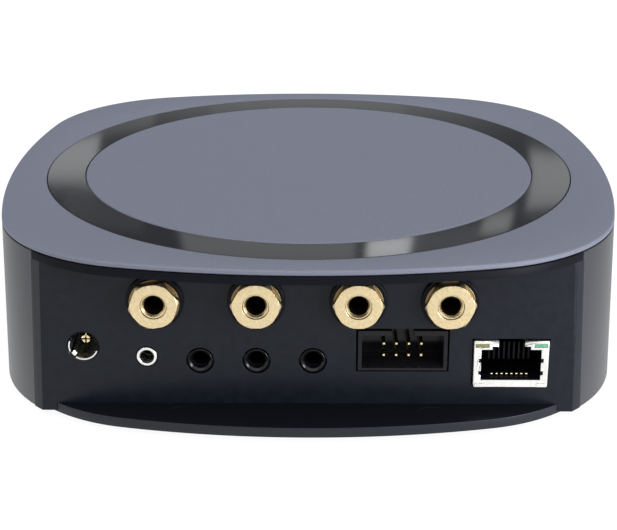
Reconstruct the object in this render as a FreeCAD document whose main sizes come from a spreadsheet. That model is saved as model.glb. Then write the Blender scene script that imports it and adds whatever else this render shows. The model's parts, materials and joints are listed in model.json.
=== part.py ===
# Compact streaming amplifier: a low rounded-square case with all its sockets in a recess
# across the rear. Millimetres, +Z up, the floor at z = 0 and the case centred on the origin.
# The connector side faces -Y.

import FreeCAD, Part
import math
import os
import re

import Sketcher

Vector = FreeCAD.Vector
Rotation = FreeCAD.Rotation

# Driving dimensions: name, value, meaning. Angles are in degrees.
SIZES = [
    # Case outline, seen from above
    ("half_width", 68.0, "centre to the side of the case, at the top of its wall"),
    ("half_depth", 66.0, "centre to the front or rear of the case, at the top of its wall"),
    ("side_radius", 170.0, "radius of each bulging side"),
    ("corner_radius", 35.0, "radius of each corner"),
    # Case heights and walls
    ("foot_height", 1.45, "floor to the underside of the base plate"),
    ("base_thickness", 2.2, "base plate"),
    ("lap_depth", 1.7, "how far the base plate sits up inside the wall"),
    ("wall_rise", 34.6, "height of the case wall"),
    ("wall_thickness", 2.0, "case wall"),
    ("wall_draft", 1.0, "how much further out the foot of the wall is than its top"),
    ("base_gap", 0.1, "gap between the base plate's edge and the wall round it"),
    ("deck_thickness", 1.05, "inner deck that closes the recess above"),
    ("deck_drop", 0.65, "top of the wall down to the deck"),
    ("window_web", 1.3, "deck left between the window and a boss's pass"),
    ("window_front_margin", 14.0, "deck window to the front of the case"),
    ("window_rear_margin", 20.0, "deck window to the rear of the case"),
    ("window_corner", 14.0, "deck window corner radius"),
    # Top cover, ring and disc
    ("cover_thickness", 1.25, "top cover above the wall"),
    ("seam_height", 0.3, "shadow line between cover and wall"),
    ("seam_depth", 0.6, "how deep the shadow line is"),
    ("cover_edge", 0.45, "bevel on the cover's top edge"),
    ("plug_gap", 0.1, "gap between the cover's inner step and the wall"),
    ("ring_margin", 6.1, "gloss ring to the nearer side of the case"),
    ("ring_width", 8.7, "gloss ring, inner edge to outer edge"),
    ("ring_thickness", 1.0, "gloss ring and the seat sunk for it"),
    ("ring_bevel", 0.25, "bevel on the ring's two top edges"),
    ("ring_gap", 0.1, "gap round the ring and round the disc"),
    ("disc_proud", 0.1, "how far the disc stands above the ring"),
    # Fixings between base, wall and cover
    ("boss_side_margin", 13.0, "case screw to the side of the case"),
    ("boss_end_margin", 25.0, "case screw to the front or rear of the case"),
    ("boss_radius", 3.5, "pillar on the base and boss under the cover"),
    ("pillar_height", 8.35, "pillar on the base plate"),
    ("boss_gap", 0.2, "gap round a boss where it passes the deck"),
    ("case_screw_radius", 1.5, "shank of a case screw"),
    ("case_screw_head", 2.75, "head radius of a case screw"),
    ("case_screw_head_height", 1.9, "head height of a case screw"),
    ("case_screw_length", 20.0, "shank length of a case screw"),
    ("counterbore_depth", 4.0, "sunk seat of a case screw, from below"),
    ("pilot_spare", 1.0, "screw hole beyond the end of a case screw"),
    ("screw_gap", 0.1, "radial gap round a screw shank"),
    ("head_gap", 0.35, "radial gap round a screw head"),
    # Feet
    ("foot_side_margin", 24.5, "foot's centre to the side of the case"),
    ("foot_end_margin", 19.2, "foot's centre to the front or rear of the case"),
    ("foot_radius", 9.0, "rubber foot"),
    ("foot_seat", 0.5, "how far a foot is let into the base plate"),
    ("foot_edge", 1.1, "bevel round a foot's lower edge"),
    ("foot_gap", 0.1, "gap round a foot in its seat"),
    # Base plate details
    ("vent_width", 1.8, "cooling slot, across"),
    ("vent_length", 26.0, "cooling slot, end to end"),
    ("vent_pitch", 5.2, "cooling slots, centre to centre"),
    ("vent_offset", 17.0, "middle of the slots, from the centre line"),
    ("rib_height", 2.2, "ribs that hold the connector panel from behind"),
    ("rib_thickness", 1.5, "ribs that hold the connector panel from behind"),
    ("rib_end_margin", 20.0, "end of these ribs to the side of the case"),
    # Connector recess and panel
    ("recess_depth", 12.1, "rear edge of the case to the connector panel"),
    ("panel_thickness", 2.0, "connector panel"),
    ("hole_gap", 0.35, "gap round a socket in the panel"),
    # Main board
    ("board_side_gap", 1.0, "main board to the pillars beside it"),
    ("board_front_margin", 22.0, "main board to the front of the case"),
    ("board_rear_gap", 0.4, "main board to the back of the connector panel"),
    ("board_thickness", 1.6, "main board"),
    ("board_corner", 5.0, "main board's cut corners"),
    ("standoff_height", 5.75, "base plate to the main board"),
    ("standoff_radius", 3.0, "board standoff"),
    ("standoff_margin", 4.5, "board standoff to the side of the board"),
    ("standoff_front_margin", 5.0, "front standoffs to the front of the board"),
    ("standoff_rear_gap", 6.7, "rear standoffs behind the network socket"),
    ("board_screw_radius", 1.25, "shank of a board screw"),
    ("board_screw_head", 2.4, "head radius of a board screw"),
    ("board_screw_head_height", 1.4, "head height of a board screw"),
    ("board_screw_length", 6.0, "shank length of a board screw"),
    # Speaker terminals
    ("post_row", 15.5, "terminal axes above the main board"),
    ("post_1_x", -30.6, "first terminal"),
    ("post_2_x", -10.2, "second terminal"),
    ("post_3_x", 10.3, "third terminal"),
    ("post_4_x", 28.7, "fourth terminal"),
    ("collar_radius", 5.8, "black insulating collar"),
    ("collar_thickness", 0.8, "black insulating collar, in front of the panel"),
    ("collar_sleeve_radius", 3.6, "collar's sleeve through the panel"),
    ("collar_sleeve_gap", 0.1, "gap round the sleeve in the panel"),
    ("barrel_radius", 2.6, "threaded barrel of a terminal"),
    ("barrel_bore", 2.0, "4 mm plug socket in the barrel"),
    ("barrel_bore_depth", 15.0, "depth of the plug socket"),
    ("barrel_length", 18.0, "front end to rear end of the barrel"),
    ("barrel_sunk", 0.3, "barrel's front end behind the nut's face"),
    ("barrel_flange_radius", 3.7, "shoulder that holds the barrel in its collar"),
    ("barrel_flange", 0.4, "thickness of that shoulder"),
    ("barrel_gap", 0.05, "radial gap round the barrel"),
    ("washer_radius", 5.1, "clamp washer under a nut"),
    ("washer_thickness", 0.5, "clamp washer under a nut"),
    ("face_gap", 0.05, "gap between collar, clamp washer and nut"),
    ("nut_flats", 9.2, "hex nut across its flats"),
    ("nut_corner_radius", 5.18, "hex nut's turned corners"),
    ("nut_face_radius", 4.75, "flat face inside the nut's front chamfer"),
    ("nut_chamfer", 0.5, "depth of that chamfer"),
    ("nut_thickness", 1.8, "hex nut"),
    ("nut_mouth", 0.3, "chamfer at the mouth of the nut's hole"),
    ("nut_turn_1", 10.0, "angle at which the first nut stopped"),
    ("nut_turn_2", 0.0, "angle at which the second nut stopped"),
    ("nut_turn_3", 0.0, "angle at which the third nut stopped"),
    ("nut_turn_4", 4.0, "angle at which the fourth nut stopped"),
    ("inner_washer_radius", 5.4, "insulating washer inside the panel"),
    ("inner_washer_thickness", 1.2, "insulating washer inside the panel"),
    ("lock_washer_radius", 4.3, "lock washer under the nut inside the case"),
    ("lock_washer_thickness", 0.6, "lock washer under the nut inside the case"),
    ("rear_nut_flats", 8.0, "nut inside the case, across its flats"),
    ("rear_nut_thickness", 2.2, "nut inside the case"),
    ("lead_radius", 1.1, "insulated speaker lead"),
    ("lead_run", 10.5, "lead, straight back from the barrel"),
    # Power inlet
    ("dc_side_gap", 1.4, "power inlet to the pillar beside it"),
    ("dc_rise", 5.3, "power inlet's axis above the main board"),
    ("dc_width", 9.0, "power inlet's body"),
    ("dc_height", 10.6, "power inlet's body"),
    ("dc_depth", 12.0, "power inlet's body behind the panel"),
    ("dc_nose_radius", 3.35, "power inlet's round nose in the panel"),
    ("dc_bore_radius", 3.1, "power inlet's socket"),
    ("dc_bore_depth", 10.3, "power inlet's socket, from the panel's face"),
    ("dc_sleeve_thickness", 0.25, "plated sleeve that lines the socket"),
    ("dc_sleeve_sunk", 0.3, "sleeve's edge behind the panel's face"),
    ("dc_pin_radius", 1.0, "centre pin"),
    ("dc_pin_sunk", 4.0, "pin's tip behind the panel's face"),
    ("dc_pin_taper", 0.4, "bevel at the pin's tip"),
    ("dc_pin_slot", 0.35, "slot across the split pin"),
    ("fit_gap", 0.05, "gap between pieces pushed into one another"),
    # Small service socket
    ("service_gap", 5.45, "service socket to the power inlet"),
    ("service_rise", 3.2, "service socket's axis above the main board"),
    ("service_width", 6.0, "service socket's body"),
    ("service_height", 6.2, "service socket's body"),
    ("service_depth", 11.0, "service socket's body behind the panel"),
    ("service_ring_radius", 2.1, "plated nose of the service socket"),
    ("service_bore", 1.3, "service socket's bore"),
    ("service_mouth", 1.45, "bore of the plated nose"),
    ("service_lip", 0.2, "bevels on the nose's front edges"),
    ("service_proud", 0.3, "plated nose in front of the panel"),
    ("service_ring_seat", 2.0, "how far the plated nose goes into the body"),
    ("service_bore_depth", 11.5, "service socket's bore, from the panel's face"),
    # Audio jacks
    ("jack_row_gap", 4.65, "first audio jack to the service socket"),
    ("jack_gap", 5.1, "between two audio jacks"),
    ("jack_rise", 2.3, "jack axis above the main board"),
    ("jack_width", 6.4, "audio jack's body"),
    ("jack_height", 5.0, "audio jack's body"),
    ("jack_depth", 14.5, "audio jack's body behind the panel"),
    ("jack_nose_radius", 2.52, "audio jack's round nose"),
    ("jack_bore", 1.8, "audio jack's bore"),
    ("jack_bore_depth", 14.0, "audio jack's bore, from the panel's face"),
    ("jack_mouth", 0.25, "chamfer at the jack's mouth"),
    # Pin header
    ("header_gap", 5.95, "pin header to the last audio jack"),
    ("header_rise", 4.75, "pin header's axis above the main board"),
    ("header_width", 18.2, "pin header's shroud"),
    ("header_height", 8.8, "pin header's shroud"),
    ("header_depth", 9.4, "pin header's shroud, front to back"),
    ("header_proud", 0.3, "shroud in front of the panel"),
    ("header_side_wall", 0.8, "shroud's end walls"),
    ("header_wall", 1.1, "shroud's top and bottom walls"),
    ("header_cavity", 6.8, "depth of the shroud's cavity"),
    ("header_bevel", 0.6, "bevel at the mouth of the cavity"),
    ("key_width", 4.5, "polarising slot in the shroud's top"),
    ("nub_x", 6.0, "feet that carry the shroud, from its middle"),
    ("nub_width", 2.0, "feet that carry the shroud"),
    ("nub_length", 4.7, "feet that carry the shroud, front to back"),
    ("pin_pitch", 2.54, "header pins, centre to centre"),
    ("pin_width", 0.64, "square header pin"),
    ("pin_sunk", 0.47, "pin tips behind the panel's face"),
    ("pin_tail", 1.6, "lower pins, shroud's back to their bend"),
    # Network socket
    ("lan_side_gap", 2.3, "network socket to the pillar beside it"),
    ("lan_gap", 5.25, "network socket to the pin header"),
    ("lan_bottom", -3.0, "shield's underside from the top of the main board"),
    ("lan_width", 15.4, "network socket's shield"),
    ("lan_height", 10.2, "network socket's shield"),
    ("lan_depth", 21.0, "network socket's shield"),
    ("lan_proud", 0.8, "shield in front of the panel"),
    ("lan_sheet", 0.3, "shield's sheet"),
    ("lan_cavity_width", 12.2, "plug cavity"),
    ("lan_cavity_height", 6.8, "plug cavity"),
    ("lan_cavity_depth", 12.5, "plug cavity"),
    ("lan_cavity_floor", 1.5, "shield's underside to the cavity's floor"),
    ("latch_width", 6.6, "latch way above the plug cavity"),
    ("latch_height", 1.4, "latch way above the plug cavity"),
    ("latch_key_width", 3.9, "narrow top of the latch way"),
    ("led_width", 2.7, "indicator lens"),
    ("led_height", 0.75, "indicator lens"),
    ("led_depth", 4.0, "indicator lens"),
    ("led_side", 0.4, "indicator lens to the side of the shield"),
    ("led_drop", 0.65, "indicator lens to the top of the shield"),
    ("contact_pitch", 1.016, "plug contacts, centre to centre"),
    ("contact_width", 0.4, "plug contact"),
    ("contact_thickness", 0.25, "plug contact"),
    ("contact_start", 2.2, "front bend of the contacts behind the shield's face"),
    ("contact_run", 8.0, "contact, front to back"),
    ("contact_lift", 1.9, "how far a contact rises over its run"),
    ("contact_clear", 0.1, "front bend of the contacts above the cavity's floor"),
    # Parts on the main board
    ("chip_side", 14.0, "amplifier chip"),
    ("chip_height", 1.2, "amplifier chip"),
    ("sink_rear_gap", 2.55, "heat sink to the output capacitors"),
    ("sink_front_gap", 2.0, "heat sink to the streaming module"),
    ("sink_width", 46.0, "heat sink"),
    ("sink_base", 3.0, "heat sink's base"),
    ("fin_height", 13.0, "heat sink's fins"),
    ("fin_thickness", 1.4, "heat sink's fins"),
    ("fin_count", 9.0, "heat sink's fins"),
    ("sink_screw_x", 19.0, "heat sink screw, from the heat sink's centre"),
    ("sink_post_radius", 2.4, "spacer under each heat sink screw"),
    ("inductor_side", 11.5, "output inductor"),
    ("inductor_height", 8.0, "output inductor"),
    ("inductor_corner", 2.0, "output inductor's cut corners"),
    ("inductor_pitch", 15.5, "output inductors, centre to centre"),
    ("inductor_gap", 1.45, "output inductors to the speaker leads"),
    ("film_width", 7.2, "output capacitor"),
    ("film_length", 4.5, "output capacitor"),
    ("film_height", 6.5, "output capacitor"),
    ("film_gap", 2.2, "output capacitors to the inductors"),
    ("bulk_side_gap", 2.75, "reservoir capacitors to the inductors' row"),
    ("bulk_pitch", 15.0, "reservoir capacitors, centre to centre"),
    ("bulk_radius", 6.25, "reservoir capacitor"),
    ("bulk_height", 20.0, "reservoir capacitor"),
    ("radio_side_gap", 2.5, "streaming module to the pillar beside it"),
    ("radio_front_gap", 1.0, "streaming module to the front of the main board"),
    ("radio_width", 32.0, "streaming module's board"),
    ("radio_length", 22.0, "streaming module's board"),
    ("radio_thickness", 1.0, "streaming module's board"),
    ("radio_rise", 4.0, "streaming module above the main board"),
    ("radio_header_length", 20.0, "streaming module's pin strip"),
    ("radio_header_width", 2.5, "streaming module's pin strip"),
    ("can_width", 22.0, "streaming module's shield can"),
    ("can_length", 17.0, "streaming module's shield can"),
    ("can_height", 2.6, "streaming module's shield can"),
    ("antenna_length", 46.0, "film antenna under the top cover"),
    ("antenna_width", 8.0, "film antenna under the top cover"),
    ("antenna_thickness", 0.3, "film antenna under the top cover"),
    ("antenna_margin", 26.0, "film antenna's middle to the front of the case"),
    ("coax_radius", 0.7, "antenna lead"),
    ("coax_gap", 5.0, "antenna lead's rise, beside the streaming module"),
    ("codec_side", 9.0, "converter chip"),
    ("codec_height", 1.1, "converter chip"),
    ("codec_x", -18.0, "converter chip"),
    ("codec_front_gap", 6.5, "converter chip to the front of the main board"),
    ("phy_side", 6.0, "network chip"),
    ("phy_shift", 0.5, "network chip, off the network socket's axis"),
    ("phy_gap", 8.7, "network chip behind the network socket"),
]

doc = FreeCAD.newDocument("streaming_amplifier")
sheet = doc.addObject("Spreadsheet::Sheet", "Sizes")
for row, (alias, number, meaning) in enumerate(SIZES, start=1):
    sheet.set(f"A{row}", meaning)
    sheet.set(f"B{row}", str(number))
    sheet.setAlias(f"B{row}", alias)
doc.recompute()

ALIASES = {alias for alias, number, meaning in SIZES}

POST_COUNT = 4
JACK_COUNT = 3
CONTACT_COUNT = 8
FILTER_COUNT = 4
VENT_COUNT = 9

# Levels, planes and places that several pieces share, as expressions of the sheet's names
BASE_TOP = "(foot_height + base_thickness)"
WALL_LOW = f"({BASE_TOP} - lap_depth)"
WALL_TOP = f"({WALL_LOW} + wall_rise)"
DECK_TOP = f"({WALL_TOP} - deck_drop)"
DECK_LOW = f"({DECK_TOP} - deck_thickness)"
COVER_TOP = f"({WALL_TOP} + cover_thickness)"
RING_FLOOR = f"({COVER_TOP} - ring_thickness)"
PILLAR_TOP = f"({BASE_TOP} + pillar_height)"
BASE_INSET = "(wall_thickness - wall_draft + base_gap)"
BOSS_X = "(half_width - boss_side_margin)"
BOSS_Y = "(half_depth - boss_end_margin)"
BESIDE_PILLAR = f"({BOSS_X} - boss_radius)"
FOOT_X = "(half_width - foot_side_margin)"
FOOT_Y = "(half_depth - foot_end_margin)"
RING_OUTER = "(min(half_width; half_depth) - ring_margin)"
RING_INNER = f"({RING_OUTER} - ring_width)"
WINDOW_X = f"({BESIDE_PILLAR} - boss_gap - window_web)"
WINDOW_FRONT = "(half_depth - window_front_margin)"
WINDOW_REAR = "(half_depth - window_rear_margin)"
RIB_X = "(half_width - rib_end_margin)"
PANEL_FACE = "(recess_depth - half_depth)"
PANEL_BACK = f"({PANEL_FACE} + panel_thickness)"
BOARD_LOW = f"({BASE_TOP} + standoff_height)"
BOARD_TOP = f"({BOARD_LOW} + board_thickness)"
BOARD_X = f"({BESIDE_PILLAR} - board_side_gap)"
BOARD_FRONT = "(half_depth - board_front_margin)"
POST_Z = f"({BOARD_TOP} + post_row)"
COLLAR_FACE = f"({PANEL_FACE} - collar_thickness)"
WASHER_FACE = f"({COLLAR_FACE} - face_gap - washer_thickness)"
NUT_FACE = f"({WASHER_FACE} - face_gap - nut_thickness)"
BARREL_FRONT = f"({NUT_FACE} + barrel_sunk)"
BARREL_BACK = f"({BARREL_FRONT} + barrel_length)"
INNER_WASHER_BACK = f"({PANEL_BACK} + inner_washer_thickness)"
LOCK_WASHER_BACK = f"({INNER_WASHER_BACK} + lock_washer_thickness)"
BARREL_HOLE = "(barrel_radius + barrel_gap)"
# The row of sockets: their gaps share the room between the pillars as they do at full size
SOCKET_WIDTHS = "(dc_width + service_width + 3 * jack_width + header_width + lan_width)"
SOCKET_GAPS = "(service_gap + jack_row_gap + 2 * jack_gap + header_gap + lan_gap)"
ROOM = f"(2 * {BESIDE_PILLAR} - dc_side_gap - lan_side_gap - {SOCKET_WIDTHS})"
SPREAD = f"({ROOM} / {SOCKET_GAPS})"
DC_X = f"(dc_side_gap + dc_width/2 - {BESIDE_PILLAR})"
SERVICE_X = f"({DC_X} + dc_width/2 + service_gap * {SPREAD} + service_width/2)"
FIRST_JACK_X = f"({SERVICE_X} + service_width/2 + jack_row_gap * {SPREAD} + jack_width/2)"
JACK_PITCH = f"(jack_width + jack_gap * {SPREAD})"
LAN_X = f"({BESIDE_PILLAR} - lan_side_gap - lan_width/2)"
HEADER_X = f"({LAN_X} - lan_width/2 - lan_gap * {SPREAD} - header_width/2)"
DC_Z = f"({BOARD_TOP} + dc_rise)"
SERVICE_Z = f"({BOARD_TOP} + service_rise)"
JACK_Z = f"({BOARD_TOP} + jack_rise)"
HEADER_Z = f"({BOARD_TOP} + header_rise)"
HEADER_FACE = f"({PANEL_FACE} - header_proud)"
HEADER_BACK = f"({HEADER_FACE} + header_depth)"
LAN_LOW = f"({BOARD_TOP} + lan_bottom)"
LAN_FACE = f"({PANEL_FACE} - lan_proud)"
LAN_FLOOR = f"({LAN_LOW} + lan_cavity_floor)"
LAN_BACK = f"({LAN_FACE} + lan_depth)"
STANDOFF_X = f"({BOARD_X} - standoff_margin)"
STANDOFF_FRONT = f"({BOARD_FRONT} - standoff_front_margin)"
STANDOFF_REAR = f"({LAN_BACK} + standoff_rear_gap)"
# From the speaker leads forwards: inductors, capacitors, heat sink, streaming module
INDUCTOR_REAR = f"({BARREL_BACK} + lead_run + lead_radius + inductor_gap)"
INDUCTOR_FRONT = f"({INDUCTOR_REAR} + inductor_side)"
INDUCTOR_END = f"({(FILTER_COUNT - 1) / 2} * inductor_pitch + inductor_side/2)"
FILM_Y = f"({INDUCTOR_FRONT} + film_gap + film_length/2)"
BULK_X = f"(-{INDUCTOR_END} - bulk_side_gap - bulk_radius)"
RADIO_X = f"({BESIDE_PILLAR} - radio_side_gap - radio_width/2)"
RADIO_Y = f"({BOARD_FRONT} - radio_front_gap - radio_length/2)"
SINK_REAR = f"({FILM_Y} + film_length/2 + sink_rear_gap)"
SINK_FRONT = f"({RADIO_Y} - radio_length/2 - sink_front_gap)"
SINK_LENGTH = f"({SINK_FRONT} - {SINK_REAR})"
SINK_Y = f"(({SINK_FRONT} + {SINK_REAR}) / 2)"
ANTENNA_Y = "(half_depth - antenna_margin)"
COAX_X = f"({RADIO_X} - radio_width/2 - coax_gap)"
CODEC_Y = f"({BOARD_FRONT} - codec_front_gap - codec_side/2)"
PHY_X = f"({LAN_X} - phy_shift)"
PHY_Y = f"({LAN_BACK} + phy_gap + phy_side/2)"
SINK_LOW = f"({BOARD_TOP} + chip_height)"
RADIO_LOW = f"({BOARD_TOP} + radio_rise)"
RADIO_TOP = f"({RADIO_LOW} + radio_thickness)"

LEAD_SIDES = 8
NEWTON_STEPS = 40
SMALL = 1e-6
FAR = "(2 * half_width)"

nodes = []


def link(text):
    """The same expression with every size's name pointing at the sheet."""
    return re.sub(r"[a-z_][a-z_0-9]*", lambda m: f"Sizes.{m[0]}" if m[0] in ALIASES else m[0], text)


def bind(item, prop, text):
    item.setExpression(prop, link(text))


def value(text):
    return float(sheet.evalExpression(link(text)))


def place(item, position, rotation=Rotation()):
    """Puts an item at a position given as three expressions."""
    item.Placement = FreeCAD.Placement(Vector(), rotation)
    for axis, text in zip("xyz", position):
        bind(item, f"Placement.Base.{axis}", text)


def node(item, name):
    """Gives a finished piece its name and keeps it for export."""
    item.Label = name
    nodes.append(item)
    return item


def box(name, sides, corner):
    item = doc.addObject("Part::Box", name)
    for prop, text in zip(("Length", "Width", "Height"), sides):
        bind(item, prop, text)
    place(item, corner)
    return item


def centred_box(name, sides, middle):
    """A box centred on middle in X and Y and standing on it in Z."""
    x, y, z = middle
    return box(name, sides, (f"{x} - ({sides[0]})/2", f"{y} - ({sides[1]})/2", z))


UP = Vector(0, 0, 1)
ALONG_Y = Rotation(Vector(1, 0, 0), -90)  # +Z to +Y
DOWNWARD = ALONG_Y  # the same turn takes +Y to -Z
UPRIGHT = Rotation(Vector(1, 0, 0), 90)  # +Y to +Z


def cylinder(name, radius, length, start, rotation=Rotation()):
    item = doc.addObject("Part::Cylinder", name)
    bind(item, "Radius", radius)
    bind(item, "Height", length)
    place(item, start, rotation)
    return item


def hex_bar(name, flats, length, start, turn="0"):
    """A six-sided bar along +Y from start, turned about its own axis."""
    item = doc.addObject("Part::Prism", name)
    item.Polygon = 6
    bind(item, "Circumradius", f"({flats}) / sqrt(3)")
    bind(item, "Height", length)
    spin = Rotation(Vector(0, 1, 0), -value(turn)).multiply(ALONG_Y)
    place(item, start, spin)
    return item


def fuse(name, *pieces):
    item = doc.addObject("Part::MultiFuse", name)
    item.Shapes = list(pieces)
    item.Refine = True
    return item


def group(name, pieces):
    """Separate solids that share one node."""
    item = doc.addObject("Part::Compound", name)
    item.Links = list(pieces)
    return node(item, name)


def common(name, first, second):
    item = doc.addObject("Part::MultiCommon", name)
    item.Shapes = [first, second]
    item.Refine = True
    return item


def cut(name, base, *tools):
    item = doc.addObject("Part::Cut", name)
    item.Base = base
    item.Tool = tools[0] if len(tools) == 1 else fuse(f"{name}_tools", *tools)
    item.Refine = True
    return item


def new_sketch(body, name, role="XY_Plane", height="0"):
    sketch = body.newObject("Sketcher::SketchObject", name)
    plane = [item for item in body.Origin.OriginFeatures if item.Role == role][0]
    sketch.AttachmentSupport = [(plane, "")]
    sketch.MapMode = "FlatFace"
    bind(sketch, "AttachmentOffset.Base.z", height)
    return sketch


def constrain(sketch, constraint, text=None):
    number = sketch.addConstraint(constraint)
    if text is not None:
        bind(sketch, f"Constraints[{number}]", text)


def corner_centre(half_x, half_y, side, corner):
    """Centre of the corner arc that is tangent to both side arcs, by Newton's method."""
    x, y = half_x - corner, half_y - corner
    for _ in range(NEWTON_STEPS):
        to_x = math.hypot(x - half_x + side, y)
        to_y = math.hypot(x, y - half_y + side)
        miss_x = to_x - side + corner
        miss_y = to_y - side + corner
        a, b = (x - half_x + side) / to_x, y / to_x
        c, d = x / to_y, (y - half_y + side) / to_y
        scale = a * d - b * c
        x -= (miss_x * d - miss_y * b) / scale
        y -= (a * miss_y - c * miss_x) / scale
    return x, y


def outline_sketch(body, name, inset, height):
    """The case's outline at a height, moved in by inset: four side arcs and four corner arcs."""
    sketch = new_sketch(body, name, height=height)
    half_x = value(f"half_width - ({inset})")
    half_y = value(f"half_depth - ({inset})")
    side = value(f"side_radius - ({inset})")
    corner = value(f"corner_radius - ({inset})")
    x, y = corner_centre(half_x, half_y, side, corner)
    low = math.atan2(y, x - half_x + side)
    high = math.atan2(y - half_y + side, x)
    half_turn, turn = math.pi, 2 * math.pi
    arcs = [
        (half_x - side, 0, side, -low, low),
        (x, y, corner, low, high),
        (0, half_y - side, side, high, half_turn - high),
        (-x, y, corner, half_turn - high, half_turn - low),
        (side - half_x, 0, side, half_turn - low, half_turn + low),
        (-x, -y, corner, half_turn + low, half_turn + high),
        (0, side - half_y, side, half_turn + high, turn - high),
        (x, -y, corner, turn - high, turn - low),
    ]
    for centre_x, centre_y, radius, start, end in arcs:
        circle = Part.Circle(Vector(centre_x, centre_y, 0), Vector(0, 0, 1), radius)
        sketch.addGeometry(Part.ArcOfCircle(circle, start, end), False)
    for arc in range(8):
        constrain(sketch, Sketcher.Constraint("Tangent", arc, 2, (arc + 1) % 8, 1))
    for arc, axis in ((0, -1), (2, -2), (4, -1), (6, -2)):
        constrain(sketch, Sketcher.Constraint("PointOnObject", arc, 3, axis))
    for first, others in ((0, (2, 4, 6)), (1, (3, 5, 7))):
        for arc in others:
            constrain(sketch, Sketcher.Constraint("Equal", first, arc))
    across, along = side - half_x, side - half_y
    constrain(sketch, Sketcher.Constraint("Radius", 0, side), f"side_radius - ({inset})")
    constrain(sketch, Sketcher.Constraint("Radius", 1, corner), f"corner_radius - ({inset})")
    for kind, points, number, text in (
        ("DistanceX", (0, 3, -1, 1), across, "side_radius - half_width"),
        ("DistanceX", (-1, 1, 4, 3), across, "side_radius - half_width"),
        ("DistanceY", (2, 3, -1, 1), along, "side_radius - half_depth"),
        ("DistanceY", (-1, 1, 6, 3), along, "side_radius - half_depth"),
    ):
        constrain(sketch, Sketcher.Constraint(kind, *points, number), text)
    return sketch


def polygon_sketch(body, name, points, role="XY_Plane", height="0"):
    """A closed outline of straight lines through points given as pairs of expressions."""
    sketch = new_sketch(body, name, role, height)
    spots = [Vector(value(x), value(y), 0) for x, y in points]
    count = len(spots)
    for index, spot in enumerate(spots):
        sketch.addGeometry(Part.LineSegment(spot, spots[(index + 1) % count]), False)
    for index in range(count):
        constrain(sketch, Sketcher.Constraint("Coincident", index, 2, (index + 1) % count, 1))
    for index, (x, y) in enumerate(points):
        constrain(sketch, Sketcher.Constraint("DistanceX", -1, 1, index, 1, spots[index].x), x)
        constrain(sketch, Sketcher.Constraint("DistanceY", -1, 1, index, 1, spots[index].y), y)
    return sketch


def circle_sketch(body, name, circles, height="0"):
    """Circles given as (x, y, radius) expressions."""
    sketch = new_sketch(body, name, height=height)
    for index, (x, y, radius) in enumerate(circles):
        centre = Vector(value(x), value(y), 0)
        sketch.addGeometry(Part.Circle(centre, Vector(0, 0, 1), value(radius)), False)
        constrain(sketch, Sketcher.Constraint("Radius", index, value(radius)), radius)
        constrain(sketch, Sketcher.Constraint("DistanceX", -1, 1, index, 3, centre.x), x)
        constrain(sketch, Sketcher.Constraint("DistanceY", -1, 1, index, 3, centre.y), y)
    return sketch


def rectangle(x, y, width, length):
    """Corner points of a rectangle centred on x, y."""
    left, right = f"{x} - ({width})/2", f"{x} + ({width})/2"
    low, high = f"{y} - ({length})/2", f"{y} + ({length})/2"
    return [(left, low), (right, low), (right, high), (left, high)]


def pad(body, sketch, length, down=False):
    feature = body.newObject("PartDesign::Pad", f"{sketch.Name}_pad")
    feature.Profile = sketch
    bind(feature, "Length", length)
    feature.Reversed = down
    return feature


def pocket(body, sketch, depth, up=False):
    """Cuts downwards from the sketch, or upwards, and makes sure that something was cut."""
    doc.recompute()
    before = body.Shape.Volume
    feature = body.newObject("PartDesign::Pocket", f"{sketch.Name}_pocket")
    feature.Profile = sketch
    bind(feature, "Length", depth)
    feature.Reversed = up
    doc.recompute()
    if not body.Shape.Volume < before - SMALL:
        raise RuntimeError(f"{feature.Name} cut nothing")
    return feature


def wall_form(name, inset_low, inset_high, low, high):
    """A solid with the case's outline whose wall leans from one inset to another."""
    body = doc.addObject("PartDesign::Body", name)
    loft = body.newObject("PartDesign::AdditiveLoft", f"{name}_loft")
    loft.Profile = outline_sketch(body, f"{name}_low", inset_low, low)
    loft.Sections = [outline_sketch(body, f"{name}_high", inset_high, high)]
    loft.Ruled = True
    return body


def slab_form(name, inset, low, thickness):
    """A flat slab with the case's outline."""
    body = doc.addObject("PartDesign::Body", name)
    pad(body, outline_sketch(body, f"{name}_outline", inset, low), thickness)
    return body


def turned(name, points, position, rotation=Rotation()):
    """A turned piece: its profile is (radius, distance along the axis), and the axis is +Y."""
    body = doc.addObject("PartDesign::Body", name)
    profile = polygon_sketch(body, f"{name}_profile", points)
    feature = body.newObject("PartDesign::Revolution", f"{name}_turning")
    feature.Profile = profile
    feature.ReferenceAxis = (profile, ["V_Axis"])
    feature.Angle = 360
    place(body, position, rotation)
    return body


def bent_lead(name, radius, points):
    """An eight-sided lead through the points, each run along one axis and each corner square."""
    runs = []
    for index, (start, end) in enumerate(zip(points, points[1:])):
        step = [value(far) - value(near) for near, far in zip(start, end)]
        axis = max(range(3), key=lambda i: abs(step[i]))
        sign = 1 if step[axis] > 0 else -1
        before = radius if index > 0 else "0"
        after = radius if index < len(points) - 2 else "0"
        begin = list(start)
        begin[axis] = f"{start[axis]} - {sign} * {before}"
        direction = Vector(*(sign if i == axis else 0 for i in range(3)))
        run = doc.addObject("Part::Prism", f"{name}_{index}")
        run.Polygon = LEAD_SIDES
        bind(run, "Circumradius", f"{radius} / cos({180 / LEAD_SIDES} deg)")
        bind(run, "Height", f"{sign} * ({end[axis]} - ({start[axis]})) + {before} + {after}")
        place(run, begin, Rotation(UP, direction).multiply(Rotation(UP, 180 / LEAD_SIDES)))
        runs.append(run)
    return fuse(name, *runs)


def four_corners(x, y):
    return [(f"{i} * ({x})", f"{j} * ({y})") for i in (-1, 1) for j in (-1, 1)]


def board_holes():
    """Places of the four board screws."""
    return [(f"{i} * {STANDOFF_X}", y) for i in (-1, 1) for y in (STANDOFF_REAR, STANDOFF_FRONT)]


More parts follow.
